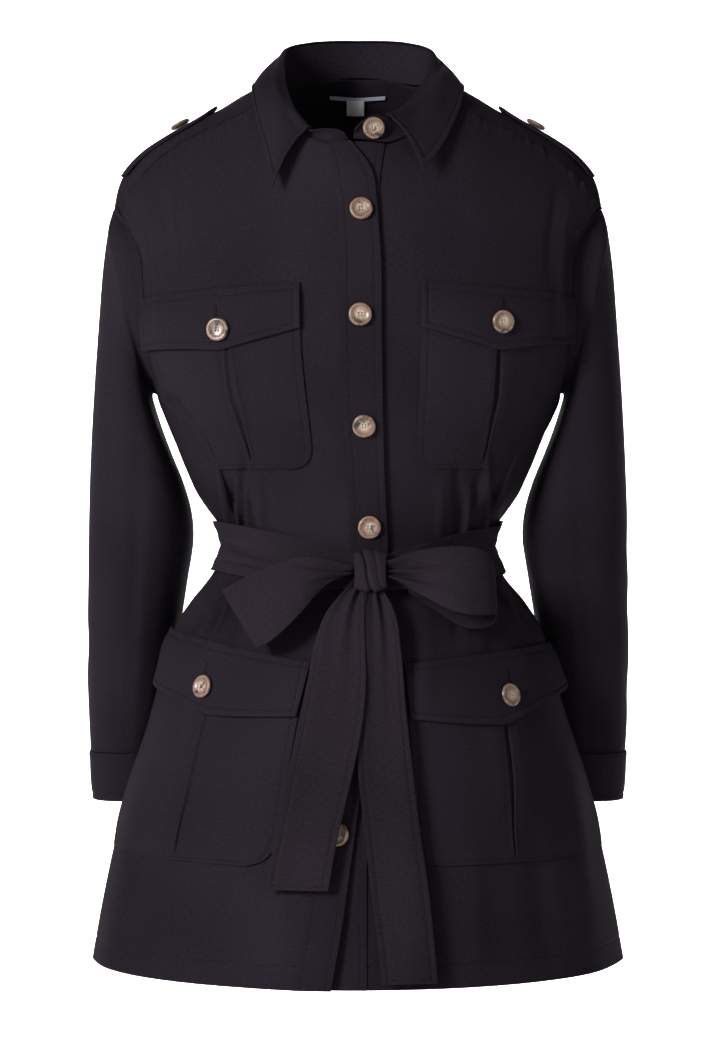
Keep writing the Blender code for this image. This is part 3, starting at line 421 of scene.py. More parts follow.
# Folds of the front view: from x z, to x z, half width, height (a trough is negative), bow.
FRONT_FOLDS = [
    (-110, -345, -109, -412, 2.6, -4.2), (-105.5, -350, -105, -412, 2.4, 3.4),
    (-101, -340, -102, -412, 2.6, -4.4), (-97, -345, -97, -410, 2.6, 3.1), (-100, -325, -91, -410, 3.4, -4.2),
    (-86, -340, -84, -408, 4.0, 2.3), (-124, -330, -116, -404, 4.0, 3.4, 0.03),
    (-133, -318, -121, -400, 3.6, -2.9, 0.03), (86, -335, 89, -408, 4.2, -4.7),
    (97, -352, 92, -408, 2.6, 3.9, 0.02), (103, -345, 99, -408, 2.8, -3.4), (113, -330, 113, -402, 2.8, 4.4),
    (119, -328, 118, -400, 2.4, -3.9), (72, -345, 72, -405, 4.5, 1.8),
    (-109, -418, -140, -490, 3.0, 4.7, 0.04), (-114, -420, -152, -488, 3.0, -3.6, 0.04),
    (-102, -420, -127, -492, 3.0, 4.4, 0.03), (-105, -420, -133, -492, 2.6, -4.2, 0.03),
    (-97, -424, -109, -496, 4.0, -4.4, 0.02), (-88, -428, -96, -500, 4.0, 2.3),
    (-121, -420, -166, -486, 4.0, 3.1, 0.03), (117, -424, 134, -468, 2.6, -4.4, -0.05),
    (122, -424, 142, -476, 3.0, 3.4, -0.05), (128, -424, 158, -486, 4.0, -2.9, -0.03),
    (104, -430, 108, -500, 5.0, 1.8), (88, -430, 84, -500, 6.0, -2.0), (60, -440, 58, -560, 8.0, 1.6),
    (-178, -560, -206, -770, 13.0, -3.0, 0.02), (-150, -690, -158, -776, 10.0, 2.4),
    (-104, -640, -112, -776, 12.0, -2.6), (-60, -640, -64, -776, 9.0, 2.2), (96, -650, 102, -776, 11.0, 2.6),
    (150, -640, 164, -772, 12.0, -3.0), (186, -560, 208, -765, 10.0, 2.6, -0.02),
    (-62, -95, -86, -190, 15.0, -1.4), (84, -90, 96, -185, 14.0, -1.4), (-30, -120, -60, -260, 11.0, 1.0),
    (42, -120, 58, -215, 11.0, 1.0), (-195, -112, -186, -236, 4.0, -3.4, 0.04),
    (-187, -98, -177, -222, 3.6, 2.8, 0.03), (-176, -92, -164, -180, 3.6, -1.8, 0.03),
    (-168, -88, -158, -160, 3.2, 1.4, 0.03), (195, -112, 186, -238, 4.0, -3.4, -0.04),
    (187, -98, 177, -222, 3.6, 2.8, -0.03), (176, -92, 166, -180, 3.6, -1.8, -0.03),
]


def relief(folds, x, z):
    """Height of a table of folds over points of the front view."""
    return sum(crease(x, z, *fold) for fold in folds)


def gathers(u, under, reach, spacing, height, seed):
    """Small uneven gathers that run down from a seam and die out below it."""
    rng = np.random.default_rng(seed)
    edges = np.cumsum(spacing * rng.uniform(0.65, 1.4, int(u.max() / spacing) + 6)) - spacing
    total = np.zeros_like(u)
    for middle in edges:
        length = reach * rng.uniform(0.45, 1.15)
        tall = height * rng.uniform(0.45, 1.1)
        drift = rng.uniform(-0.08, 0.08)
        fade = np.clip(1 - under / length, 0, 1) ** 1.4
        total += tall * fade * np.exp(-(((u - middle - drift * under) / (0.3 * spacing)) ** 2))
    return total


def sunk_seam(distance, depth=0.6, width=1.0):
    """Groove that a row of stitches draws into the cloth."""
    return -depth * np.exp(-((distance / width) ** 2))


def cell_areas(sheet):
    """Areas of the cells of a sheet's grid, in square millimetres."""
    down = sheet.p[1:, :-1] - sheet.p[:-1, :-1]
    across = sheet.p[:-1, 1:] - sheet.p[:-1, :-1]
    return np.linalg.norm(np.cross(down, across), axis=2)


def meshed(name, bm):
    """Mesh of a finished bmesh."""
    mesh = bpy.data.meshes.new(name)
    bm.to_mesh(mesh)
    bm.free()
    return mesh


def placed(name, mesh, finish):
    """Object of a mesh in the scene, shaded smooth."""
    mesh.polygons.foreach_set("use_smooth", [True] * len(mesh.polygons))
    mesh.materials.append(finish)
    piece = bpy.data.objects.new(name, mesh)
    bpy.context.scene.collection.objects.link(piece)
    return piece


def hang(
    name, sheet, wall, node, held="hung", ease=1.0, skip=None, area=None,
    finish=jacket_cloth, slot="jacket_cloth",
):
    """Skip marks an open notch."""
    rows, cols = sheet.p.shape[:2]
    bm = bmesh.new()
    weave = bm.loops.layers.uv.new("weave")
    bmesh.ops.create_grid(bm, x_segments=cols - 1, y_segments=rows - 1, size=0.5)
    spot = {}
    for vert in bm.verts:
        i = round((vert.co.x + 0.5) * (cols - 1))
        j = round((0.5 - vert.co.y) * (rows - 1))
        spot[vert] = (j, i)
    for face in bm.faces:
        for loop in face.loops:
            here = spot[loop.vert]
            loop[weave].uv = (sheet.u[here] * MM, -sheet.v[here] * MM)
    if skip is not None:
        gone = [face for face in bm.faces if all(skip[spot[v]] for v in face.verts)]
        bmesh.ops.delete(bm, geom=gone, context="FACES")
    for vert in bm.verts:
        vert.co = Vector(sheet.p[spot[vert]]) * MM
    if sheet.round_it:
        bmesh.ops.remove_doubles(bm, verts=bm.verts, dist=1e-6)
    piece = placed(name, meshed(name, bm), finish)
    shell = piece.modifiers.new("wall", "SOLIDIFY")
    shell.thickness = wall * MM
    shell.offset = -1
    soft = piece.modifiers.new("turned edge", "BEVEL")
    soft.width = 0.35 * MM
    soft.segments = 2
    soft.limit_method = "ANGLE"
    soft.angle_limit = math.radians(50)
    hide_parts(node)
    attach(piece, "root")


def seam_line(sheet, across, down):
    """Points and normals of a line on a sheet, given by its distances from the left and from the top."""
    nu = sheet.u[0]
    nv = sheet.v[:, 0]
    across, down = np.broadcast_arrays(np.asarray(across, float), np.asarray(down, float))
    fi = np.interp(across, nu, np.arange(len(nu)))
    fj = np.interp(down, nv, np.arange(len(nv)))
    i = np.clip(fi.astype(int), 0, len(nu) - 2)
    j = np.clip(fj.astype(int), 0, len(nv) - 2)
    s = (fi - i)[:, None]
    t = (fj - j)[:, None]
    normal = sheet.normals()

    def read(a):
        top = a[j, i] * (1 - s) + a[j, i + 1] * s
        low = a[j + 1, i] * (1 - s) + a[j + 1, i + 1] * s
        return top * (1 - t) + low * t

    n = read(normal)
    return read(sheet.p), n / np.linalg.norm(n, axis=1, keepdims=True)


def thread(name, dark, light):
    """Polyester sewing thread, twisted: a fine round strand, smoother than the cloth."""
    finish, tree, shader = new_finish(name)
    place = add(tree, "TexCoord", out="Object")
    twist = add(tree, "TexNoise", {"Vector": place, "Scale": 1 / (0.5 * MM)})
    colour = add(tree, "Mix", {0: twist, 6: linear(dark), 7: linear(light)}, 2, data_type="RGBA")
    feed(tree, shader, {"Base Color": colour, "Roughness": 0.6, "Specular IOR Level": 0.1})
    return finish


jacket_thread = thread("sewing_thread_twisted", "0B090C", "131116")


def along_run(at, run, values):
    """Values along a line, read at the given distances."""
    return np.stack([np.interp(at, run, values[:, k]) for k in range(3)], 1)


def sew(name, lines, pitch=STITCH_PITCH, finish=jacket_thread, long=0.74, wide=0.75, high=0.2):
    """Rows of single stitches along the given lines, in one piece. Each stitch is a flattened bead."""
    bead = bmesh.new()
    bmesh.ops.create_icosphere(bead, subdivisions=1, radius=0.5)
    shape = np.array([v.co for v in bead.verts])
    faces = np.array([[v.index for v in f.verts] for f in bead.faces])
    bead.free()
    points = []
    corners = []
    for line, normal in lines:
        gap = np.linalg.norm(np.diff(line, axis=0), axis=1)
        run = np.concatenate(([0.0], np.cumsum(gap)))
        number = int(run[-1] / pitch)
        if number < 1:
            continue
        at = (np.arange(number) + 0.5) * run[-1] / number
        middle = along_run(at, run, line)
        up = along_run(at, run, normal)
        along = along_run(at + 0.4, run, line) - along_run(at - 0.4, run, line)
        along /= np.maximum(np.linalg.norm(along, axis=1, keepdims=True), 1e-9)
        side = np.cross(up, along)
        side /= np.maximum(np.linalg.norm(side, axis=1, keepdims=True), 1e-9)
        for k in range(number):
            body = shape[:, :1] * along[k] * pitch * long + shape[:, 1:2] * side[k] * wide
            corners.append(faces + len(points) * len(shape))
            points.append(middle[k] + body + shape[:, 2:] * up[k] * high)
    mesh = bpy.data.meshes.new(name)
    mesh.from_pydata((np.concatenate(points) * MM).tolist(), [], np.concatenate(corners).tolist())
    piece = placed(name, mesh, finish)
    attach(piece, "root")


HEM = 20
SEAM_FADE = 16
ARMHOLE_FOOT = -290

for side, tag in ((-1, "_l"), (1, "_r")):
    outer = (0, 150, 1.8) if side < 0 else (-150, 0, 1.8)
    coarse = grid_of("front" + tag, PANEL_WALL, 13, 27)
    front = cloth(coarse, 3.4, 5.2, zones_u=[outer], zones_v=[(0, 60, 2.8), (-23, -17, 1.0)])
    from_edge = front.width - front.u if side < 0 else front.u
    from_side = front.u if side < 0 else front.width - front.u
    small = ramp(from_edge, 0.36 * front.width, 0.42 * front.width)
    large = ramp(from_edge, 0.72 * front.width, 0.84 * front.width)
    front.raise_by(gathers(front.u, front.v, 24, 6.0, 1.7, 5 + side) * small)
    front.raise_by(gathers(front.u, front.v, 75, 10.0, 3.2, 15 + side) * large)
    held = np.where(front.z < ARMHOLE_FOOT, ramp(from_side, 0, SEAM_FADE), 1.0)
    front.raise_by(relief(FRONT_FOLDS, front.x, front.z) * held - 0.7 * bump(front.v, 0.0, 1.6))
    front.raise_by(-0.5 * bump(from_side, 0.0, 1.8))
    front.raise_by(sunk_seam(front.height - HEM - front.v))
    hang("front_cloth" + tag, front, PANEL_WALL, "front" + tag, ease=1.05)
    every = np.linspace(0, front.width, 240)
    sew("stitches_hem_front" + tag, [seam_line(front, every, front.height - HEM)])


# Button strips
# A strip of doubled suiting is sewn down the edge of each front, with a row of stitches along both of its
# edges.
STRIP_WALL = 1.0
STRIP_STITCH = 5.8

for tag, node in (("_l", "placket_top"), ("_r", "placket_under")):
    strip = cloth(grid_of(node, STRIP_WALL, 2, 27), 1.0, 4.6)
    rows = [strip.u - STRIP_STITCH, strip.width - STRIP_STITCH - strip.u]
    strip.raise_by(relief(FRONT_FOLDS, strip.x, strip.z) + sum(sunk_seam(r, 0.3, 0.9) for r in rows))
    hang("strip_cloth" + tag, strip, STRIP_WALL, node, "stretched")
    down = np.linspace(3, strip.height - 2, 420)
    sewn = (STRIP_STITCH, strip.width - STRIP_STITCH)
    sew("stitches_strip" + tag, [seam_line(strip, across, down) for across in sewn])


# Back
# One panel of the same suiting from side seam to side seam, gathered a little under the yoke, drawn in by
# the belt and falling in soft folds to the hem. Its sides are sewn under those of the fronts.
SEAM_LAP = 2.2
BACK_FOLDS = [
    (-96, -330, -92, -412, 4.5, 2.2), (-78, -345, -80, -412, 4.0, -1.8), (-52, -335, -54, -412, 4.5, 1.6),
    (-20, -350, -22, -410, 4.0, -1.3), (14, -340, 12, -412, 4.5, 1.7), (44, -345, 46, -410, 4.0, -1.6),
    (72, -335, 70, -412, 4.5, 2.0), (95, -340, 92, -410, 4.0, -1.5), (-90, -445, -118, -560, 7.0, 2.0, 0.03),
    (-60, -445, -76, -590, 8.0, -1.7), (-30, -447, -38, -570, 7.0, 1.6), (4, -446, 6, -600, 8.0, -1.5),
    (38, -446, 46, -580, 7.0, 1.8), (70, -446, 88, -590, 8.0, -1.8), (98, -445, 126, -560, 7.0, 1.7, -0.03),
    (-150, -560, -176, -772, 15.0, -2.2), (-84, -600, -98, -775, 13.0, 1.9),
    (-18, -610, -22, -775, 14.0, -1.8), (52, -600, 60, -775, 13.0, 1.9), (118, -590, 136, -775, 14.0, -2.0),
    (172, -560, 196, -770, 11.0, 1.6), (-150, -150, -120, -300, 15.0, -1.2, 0.03),
    (150, -150, 122, -300, 15.0, -1.2, -0.03), (-60, -130, -52, -260, 14.0, 0.8),
    (66, -130, 56, -260, 14.0, 0.8),
]

coarse = grid_of("back", PANEL_WALL, 20, 23)
below_arm = coarse[:, 0, 2] < ARMHOLE_FOOT
for column in (0, -1):
    coarse[below_arm, column, 1] -= SEAM_LAP
back = cloth(coarse, 3.4, 5.4, zones_v=[(0, 50, 3.0), (-23, -17, 1.0)])
off_middle = np.abs(back.u - 0.5 * back.width)
gathered = ramp(off_middle, 40, 75) * (1 - ramp(off_middle, 0.42 * back.width, 0.48 * back.width))
from_side = np.minimum(back.u, back.width - back.u)
back.raise_by(gathers(back.u, back.v, 45, 9.0, 2.2, 11) * gathered)
back.raise_by(relief(BACK_FOLDS, back.x, back.z) * ramp(from_side, 0, SEAM_FADE))
back.raise_by(-0.7 * bump(back.v, 0.0, 1.6) - 1.0 * bump(from_side, 0.0, 2.6))
back.raise_by(sunk_seam(back.height - HEM - back.v))
hang("back_cloth", back, PANEL_WALL, "back", ease=1.06)
sew("stitches_hem_back", [seam_line(back, np.linspace(0, back.width, 500), back.height - HEM)])


# Yoke
# One piece over both shoulders and the back neck, with a notch for the neck in its front edge. Its front
# and back seams are topstitched along the yoke.
YOKE_RUNS = [(7, 1, 0), (3, 0, 1), (6, 1, 0), (3, 0, -1), (7, 1, 0), (10, 0, 1), (20, -1, 0), (10, 0, -1)]
YOKE_STITCH = 2.2
NECK_LEFT, NECK_RIGHT, NECK_FOOT = 7, 13, 3

coarse = grid_of("yoke", PANEL_WALL, 20, 10, runs=YOKE_RUNS)
# The notch has no cloth. Points mirrored from below it fill the grid there, and hang leaves its cells out.
for j in range(NECK_FOOT):
    coarse[j, 8:13] = 2 * coarse[3, 8:13] - coarse[6 - j, 8:13]
neck = (NECK_LEFT, NECK_RIGHT)
yoke = cloth(coarse, 3.6, 2.8, breaks_u=neck, breaks_v=(NECK_FOOT,), zones_v=[(0, 4, 1.3), (-4, 0, 1.3)])
neck_left, neck_right = knots_of(coarse, 1)[list(neck)]
neck_foot = knots_of(coarse, 0)[NECK_FOOT]
notch = (yoke.u > neck_left - 0.1) & (yoke.u < neck_right + 0.1) & (yoke.v < neck_foot + 0.1)
grooves = sum(sunk_seam(r, 0.3) for r in (yoke.v - YOKE_STITCH, yoke.height - YOKE_STITCH - yoke.v))
rims = bump(yoke.v, 0.0, 2.0) + bump(yoke.height - yoke.v, 0.0, 2.0)
yoke.raise_by(grooves + 0.35 * rims)
yoke_area = cell_areas(yoke)[~notch[1:, 1:]].sum() * MM * MM
hang("yoke_cloth", yoke, PANEL_WALL, "yoke", "stretched", skip=notch, area=yoke_area)
sew(
    "stitches_yoke",
    [
        seam_line(yoke, np.linspace(1, neck_left - 2, 120), YOKE_STITCH),
        seam_line(yoke, np.linspace(neck_right + 2, yoke.width - 1, 120), YOKE_STITCH),
        seam_line(yoke, np.linspace(1, yoke.width - 1, 300), yoke.height - YOKE_STITCH),
    ],
)


# Sleeves
# Full sleeves set into dropped armholes, with cuff bands of doubled suiting. They hang in a few long soft
# folds, with short ones inside the elbow.
SLEEVE_FRONT = [
    (-196, -290, -206, -520, 9.0, -1.6, 0.02), (-228, -230, -238, -430, 11.0, 1.4),
    (-188, -380, -200, -560, 5.0, 1.3), (-222, -440, -214, -590, 9.0, -1.4),
    (-200, -330, -168, -345, 6.0, -1.2, 0.1), (-206, -372, -176, -392, 6.0, 1.0, 0.1),
    (-240, -470, -232, -590, 8.0, 1.0), (-214, -140, -226, -240, 9.0, -1.2),
]
SLEEVE_BACK = [
    (-205, -260, -214, -470, 9.0, -1.7, 0.02), (-232, -300, -236, -520, 9.0, 1.4),
    (-190, -350, -206, -560, 7.0, 1.3), (-236, -400, -196, -420, 7.0, -1.3, 0.1),
    (-234, -436, -198, -452, 7.0, 1.1, 0.1), (-222, -480, -218, -592, 8.0, -1.3),
]
CUFF_WALL = 1.8
CUFF_STITCH = 5.8
# Side from which the grid of each sleeve is read.
READ_AT = {"_l": (0.98, 0.2, 0), "_r": (-1, 0, 0)}


def heart_of(node):
    """Middle of a node's box."""
    low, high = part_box(node)
    return (low + high) / 2


def sleeve_relief(sheet, side):
    """Folds of a sleeve, the front ones on its front half and the back ones on its back half."""
    facing = sheet.normals()[..., 1] * 1.6
    halves = ((SLEEVE_FRONT, np.clip(-facing, 0, 1)), (SLEEVE_BACK, np.clip(facing, 0, 1)))
    x = -side * sheet.x
    return sum(faces * crease(x, sheet.z, *fold) for folds, faces in halves for fold in folds)


for side, tag in ((-1, "_l"), (1, "_r")):
    under = (-side, 0.3, 0)
    node = "sleeve" + tag
    coarse = grid_of(node, PANEL_WALL, 20, 12, heart_of(node), True, start=under, read_at=READ_AT[tag])
    sleeve = cloth(coarse, 3.4, 5.0, True, zones_v=[(0, 8, 1.4)])
    cap = np.clip(1 - sleeve.v / 40, 0, 1)
    sleeve.raise_by(gathers(sleeve.u, sleeve.v, 26, 9.0, 0.8, 21 + side) * cap + sleeve_relief(sleeve, side))
    sleeve.raise_by(sunk_seam(sleeve.v - 3.0, 0.4, 1.2))
    hang("sleeve_cloth" + tag, sleeve, PANEL_WALL, node, ease=1.03)
    coarse = grid_of("cuff" + tag, CUFF_WALL, 20, 3, heart_of("cuff" + tag), True, start=under)
    cuff = cloth(coarse, 2.2, 2.4, True, zones_v=[(-9, -2, 0.8), (0, 4, 1.0)])
    cuff.raise_by(sunk_seam(cuff.height - CUFF_STITCH - cuff.v) + 0.5 * bump(cuff.v, 3.0, 3.0))
    hang("cuff_cloth" + tag, cuff, CUFF_WALL, "cuff" + tag, "stretched")
    every = np.linspace(0, cuff.width, 200)
    sew("stitches_cuff" + tag, [seam_line(cuff, every, cuff.height - CUFF_STITCH)])


# Collar
# A stand of doubled suiting rises from the neck seam and closes with a button. The leaf turns down over it,
# and a row of stitches runs round the edge of the leaf.
LEAF_STITCH = 5.8


def from_rim(sheet):
    """Distance from the nearest of a sheet's two sides and its foot."""
    return np.minimum(np.minimum(sheet.u, sheet.width - sheet.u), sheet.height - sheet.v)


def three_sides(sheet, inset, top, down, across):
    """Lines to sew down both sides of a sheet and along its foot, read at so many points down and across."""
    sides = np.linspace(top, sheet.height - inset, down)
    foot = np.linspace(inset, sheet.width - inset, across)
    return [
        seam_line(sheet, inset, sides),
        seam_line(sheet, sheet.width - inset, sides),
        seam_line(sheet, foot, sheet.height - inset),
    ]


stand = cloth(grid_of("collar_stand", PANEL_WALL, 22, 3), 2.4, 1.6)
edges = [stand.u - 3, stand.width - 3 - stand.u, stand.v - 2.6, stand.height - 2.6 - stand.v]
stand.raise_by(sum(sunk_seam(r, 0.2) for r in edges))
hang("collar_stand_cloth", stand, PANEL_WALL, "collar_stand", "stretched")

coarse = grid_of("collar_leaf", PANEL_WALL, 16, 7, heart=Vector((0, 0, -0.02)))
leaf = cloth(coarse, 2.8, 2.4, zones_u=[(0, 9, 0.9), (-9, 0, 0.9)], zones_v=[(-9, 0, 0.9)])
rim = from_rim(leaf)
leaf.raise_by(sunk_seam(rim - LEAF_STITCH) + 0.25 * ramp(rim, 0.0, 2.0) * (rim < LEAF_STITCH))
hang("collar_leaf_cloth", leaf, PANEL_WALL, "collar_leaf", "folded")
sew("stitches_collar", three_sides(leaf, LEAF_STITCH, 4, 80, 300))


# Pockets
# Patch pockets with an inverted pleat down the middle, sewn to the fronts along their sides and foot.
POCKET_WALL = 1.0
POCKET_STITCH = 5.6

# Open pleats: half width of the gap, and the shares of the pocket's height where it opens and closes.
PLEAT_GAPS = {
    "breast_pocket_l": (2.3, 0.16, 0.80),
    "breast_pocket_r": (1.3, 0.16, 0.76),
    "hip_pocket_l": (1.5, 0.16, 0.74),
    "hip_pocket_r": (1.3, 0.20, 0.72),
}
PLEAT_COLUMN = 5

for node, rows in (("breast_pocket", 11), ("hip_pocket", 6)):
    for tag in ("_l", "_r"):
        coarse = grid_of(node + tag, POCKET_WALL, 9, rows)
        centre = knots_of(coarse, 1)[PLEAT_COLUMN]
        finer = [(0, 8, 1.0), (centre - 7, centre + 7, 0.7), (-8, 0, 1.0)]
        pocket = cloth(coarse, 3.2, 3.4, zones_u=finer, zones_v=[(-8, 0, 0.9)])
        gap, opens, closes = PLEAT_GAPS[node + tag]
        share = np.clip((pocket.v / pocket.height - opens) / (closes - opens), 0, 1)
        half = 0.5 + gap * np.sin(math.pi * share) ** 0.8
        off = np.abs(pocket.u - centre)
        pleat = 0.7 * bump(off, half + 1.8, 1.5) - 2.6 * np.exp(-((off / (half + 0.35)) ** 4))
        pleat *= ramp(pocket.height - pocket.v, 6.0, 18.0)
        groove = sunk_seam(from_rim(pocket) - POCKET_STITCH, 0.3)
        pocket.raise_by(relief(FRONT_FOLDS, pocket.x, pocket.z) + groove + pleat)
        hang(node + "_cloth" + tag, pocket, POCKET_WALL, node + tag, "laid", ease=1.15)
        sew("stitches_" + node + tag, three_sides(pocket, POCKET_STITCH, 1, 120, 120))


# Flaps
# Pointed flaps of doubled suiting, sewn down over a narrow strip along their top edge, with a buttonhole
# near the point.
FLAP_WALL = 1.4
FLAP_STITCH = 5.8
FLAP_TOP = 6.3

sheets = {}
for node in ("breast_flap", "hip_flap"):
    for tag in ("_l", "_r"):
        finer = [(0, 9, 0.8), (-9, 0, 0.8)]
        flap = cloth(grid_of(node + tag, FLAP_WALL, 8, 4), 2.0, 1.8, zones_u=finer, zones_v=finer)
        sheets[node + tag] = flap
        rim = from_rim(flap)
        lift = relief(FRONT_FOLDS, flap.x, flap.z) + sunk_seam(rim - FLAP_STITCH)
        lift += sunk_seam(flap.v - FLAP_TOP, 0.5, 1.0) + 0.3 * bump(rim, 2.5, 2.0)
        flap.raise_by(lift)
        hang(node + "_cloth" + tag, flap, FLAP_WALL, node + tag)
        top = seam_line(flap, np.linspace(1, flap.width - 1, 120), FLAP_TOP)
        sew("stitches_" + node + tag, three_sides(flap, FLAP_STITCH, 1, 60, 120) + [top])


# Shoulder straps
# Straps of doubled suiting, caught in the armhole seam and buttoned near their pointed ends.
STRAP_STITCH = 5.5

for side, tag in ((-1, "_l"), (1, "_r")):
    below = Vector((side * 0.15, 0, -0.3))
    coarse = grid_of("epaulette" + tag, FLAP_WALL, 4, 8, first=(side, 0, 0), heart=below)
    strap = cloth(coarse, 1.1, 1.6, zones_v=[(-9, 0, 0.9)])
    rim = from_rim(strap)
    strap.raise_by(sunk_seam(rim - STRAP_STITCH) + 0.25 * bump(rim, 2.5, 2.0))
    hang("strap_cloth" + tag, strap, FLAP_WALL, "epaulette" + tag, "laid")
    sew("stitches_strap" + tag, three_sides(strap, STRAP_STITCH, 1, 70, 30))


# Belt
# A soft sash of the same suiting, 51 mm wide, tied in a bow over the front. It is drawn tight at the knot,
# so small folds spread from there along both loops and the band.
BELT_WALL = 1.5
BELT_DARK = "201B21"
BELT_LIGHT = "322B33"
TAIL_STITCH = 3.5

belt_cloth = twill("sash_twill_woven", BELT_DARK, BELT_LIGHT)
SASH = {"finish": belt_cloth, "slot": "belt_cloth"}
knot_low, knot_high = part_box("belt_knot")
knot_x = 500 * (knot_low.x + knot_high.x)
knot_z = 500 * (knot_low.z + knot_high.z)


def fan(sheet, spread, height, reach, seed):
    """Folds that fan out from the knot and die away along the sash."""
    rng = np.random.default_rng(seed)
    dx = sheet.x - knot_x
    dz = sheet.z - knot_z
    away = np.hypot(dx, dz)
    slope = dz / np.maximum(np.abs(dx), 1.0)
    total = np.zeros_like(away)
    for middle in np.linspace(-spread, spread, 9):
        middle += rng.uniform(-0.05, 0.05)
        length = reach * rng.uniform(0.5, 1.15)
        sign = 1 if rng.random() > 0.45 else -0.8
        fade = np.clip(1 - away / length, 0, 1) ** 1.2
        total += sign * height * rng.uniform(0.6, 1.1) * fade * np.exp(-(((slope - middle) / 0.07) ** 2))
    return total


def tucked_under(coarse):
    """Rows that carry the top of a tail on up behind the knot, drawn together there."""
    top = coarse[0]
    middle = top.mean(0)
    rows = []
    for rise, narrow, back in ((13.5, 0.42, 3.0), (6.5, 0.6, 0.5), (1.5, 0.82, 0.0)):
        row = middle + (top - middle) * narrow
        row[:, 0] += (knot_x - middle[0]) * (1 - narrow) * 0.9
        row[:, 1] += back + 0.3 * rise
        row[:, 2] += rise
        rows.append(row)
    return np.array(rows)


band = cloth(grid_of("belt_band", BELT_WALL, 36, 6, round_it=True, start=(0, 1, 0)), 3.2, 1.6, True)
facing = ramp(-band.y, 0, 40)
at_left = ramp(-band.x, 20, 60) * facing
# Long folds round the band at the left: share of its height at x = -120, slope, height, half width.
TIERS = [(0.5, 0.0016, -2.2, 1.8), (0.4, 0.0016, 1.0, 3.0), (0.76, -0.0008, -1.4, 1.6)]
tiers = sum(
    tall * bump(band.v, (share + slope * (band.x + 120)) * band.height, wide) * at_left
    for share, slope, tall, wide in TIERS
)
wrinkles = 0.8 * np.sin(band.v * 0.62 + 2.2 * np.sin(band.u * 0.021))
wrinkles = wrinkles * (0.4 + 0.6 * np.sin(band.u * 0.013) ** 2)
band.raise_by(tiers + 0.45 * wrinkles + fan(band, 0.5, 1.4, 95, 3) * facing)
hang("belt_band_cloth", band, BELT_WALL, "belt_band", "stretched", **SASH)

# Deep folds at the roots of the loops: to x z, half width, height. They all start in the knot.
ROOT_FOLDS = {
    "_l": [(-58, -422, 2.6, -3.4), (-50, -441, 2.4, -2.8), (-44, -431, 2.6, 2.0), (-40, -412, 2.4, -2.0)],
    "_r": [(66, -421, 2.6, -3.4), (62, -437, 2.4, -3.0), (52, -451, 2.2, -2.6), (60, -429, 2.4, 2.0)],
}
# Ripples across the tails: height, waves across, waves down, change with the seed, and how far down they
# reach.
RIPPLES = [(2.2, 2.4, 0, 1, 55), (1.3, 4.1, 0, 2, 24), (1.1, 0.9, 0.012, 1, math.inf)]

# Side, seed of the folds, rows of the tail, and how far its inner edge leans in to hide the button behind it.
for tag, seed, rows, lean_in in (("_l", 31, 7, 4.0), ("_r", 32, 8, -2.6)):
    node = "belt_loop" + tag
    loop = cloth(grid_of(node, BELT_WALL, 4, 10, first=(0, -1, 0), heart=heart_of(node)), 1.3, 1.5)
    ahead = loop.v < 0.5 * loop.height
    roots = sum(crease(loop.x, loop.z, knot_x, knot_z, *fold) for fold in ROOT_FOLDS[tag])
    folds = fan(loop, 0.42, 2.6, 110, seed) + fan(loop, 0.6, 3.4, 60, seed + 7) + roots
    loop.raise_by(folds * np.where(ahead, 1, -1))
    hang("belt_loop_cloth" + tag, loop, BELT_WALL, node, "folded", **SASH)
    coarse = grid_of("belt_tail" + tag, BELT_WALL, 3, rows)
    coarse = np.concatenate([tucked_under(coarse), coarse[1:]])
    tail = cloth(coarse, 1.5, 2.2, zones_u=[(0, 6, 0.8), (-6, 0, 0.8)])
    across = tail.u / tail.width * math.tau
    ripple = sum(
        tall * np.sin(across * waves + tail.v * down + turn * seed) * np.exp(-tail.v / reach)
        for tall, waves, down, turn, reach in RIPPLES
    )
    tail.raise_by(ripple + sunk_seam(from_rim(tail) - TAIL_STITCH, 0.5))
    inner = tail.u / tail.width if tag == "_l" else 1 - tail.u / tail.width
    tail.p[..., 0] += lean_in * inner * bump(tail.z, -560, 60)
    hang("belt_tail_cloth" + tag, tail, BELT_WALL, "belt_tail" + tag, **SASH)
    sew("stitches_tail" + tag, three_sides(tail, TAIL_STITCH, 30, 200, 40))


# Knot
# The wrap of the knot: a short length of the sash pulled tight round the two loops, in upright folds.
KNOT_LEAN = 0.36
KNOT_ROUND = 64
KNOT_ACROSS = 40
KNOT_HALF_DEPTH = 9.5
KNOT_SQUARE = 0.66
CLOTH_PER_TURN = 15
# Upright folds of the wrap: place across it, half width, height.
KNOT_FOLDS = [(-0.2, 0.1, -2.5), (0.05, 0.2, 0.6), (0.48, 0.07, -0.8)]

half_w = 500 * (knot_high.x - knot_low.x)
half_h = 500 * (knot_high.z - knot_low.z)
knot_y = 500 * (knot_low.y + knot_high.y)
ring = np.linspace(0, math.tau, KNOT_ROUND + 1)[:, None]
across = np.linspace(-1, 1, KNOT_ACROSS + 1)[None, :]
tight = 1 - 0.2 * np.abs(across) ** 2.5
ring_y = np.sign(np.cos(ring)) * np.abs(np.cos(ring)) ** KNOT_SQUARE * KNOT_HALF_DEPTH * tight
ring_z = np.sign(np.sin(ring)) * np.abs(np.sin(ring)) ** KNOT_SQUARE * half_h * tight
ring_x = half_w * across * (1 - 0.1 * np.cos(ring) ** 2)
wrap = np.stack([knot_x + ring_x, knot_y + ring_y + KNOT_LEAN * ring_z, knot_z + ring_z], axis=2)
knot = Sheet(wrap, half_w * (across[0] + 1), ring[:, 0] * CLOTH_PER_TURN)
lean = across + 0.3 * np.sin(ring)
lift = -0.4
for middle, width, height in KNOT_FOLDS:
    lift = lift + height * bump(lean, middle, width)
knot.raise_by(lift)
hang("belt_knot_cloth", knot, BELT_WALL, "belt_knot", "folded", **SASH)


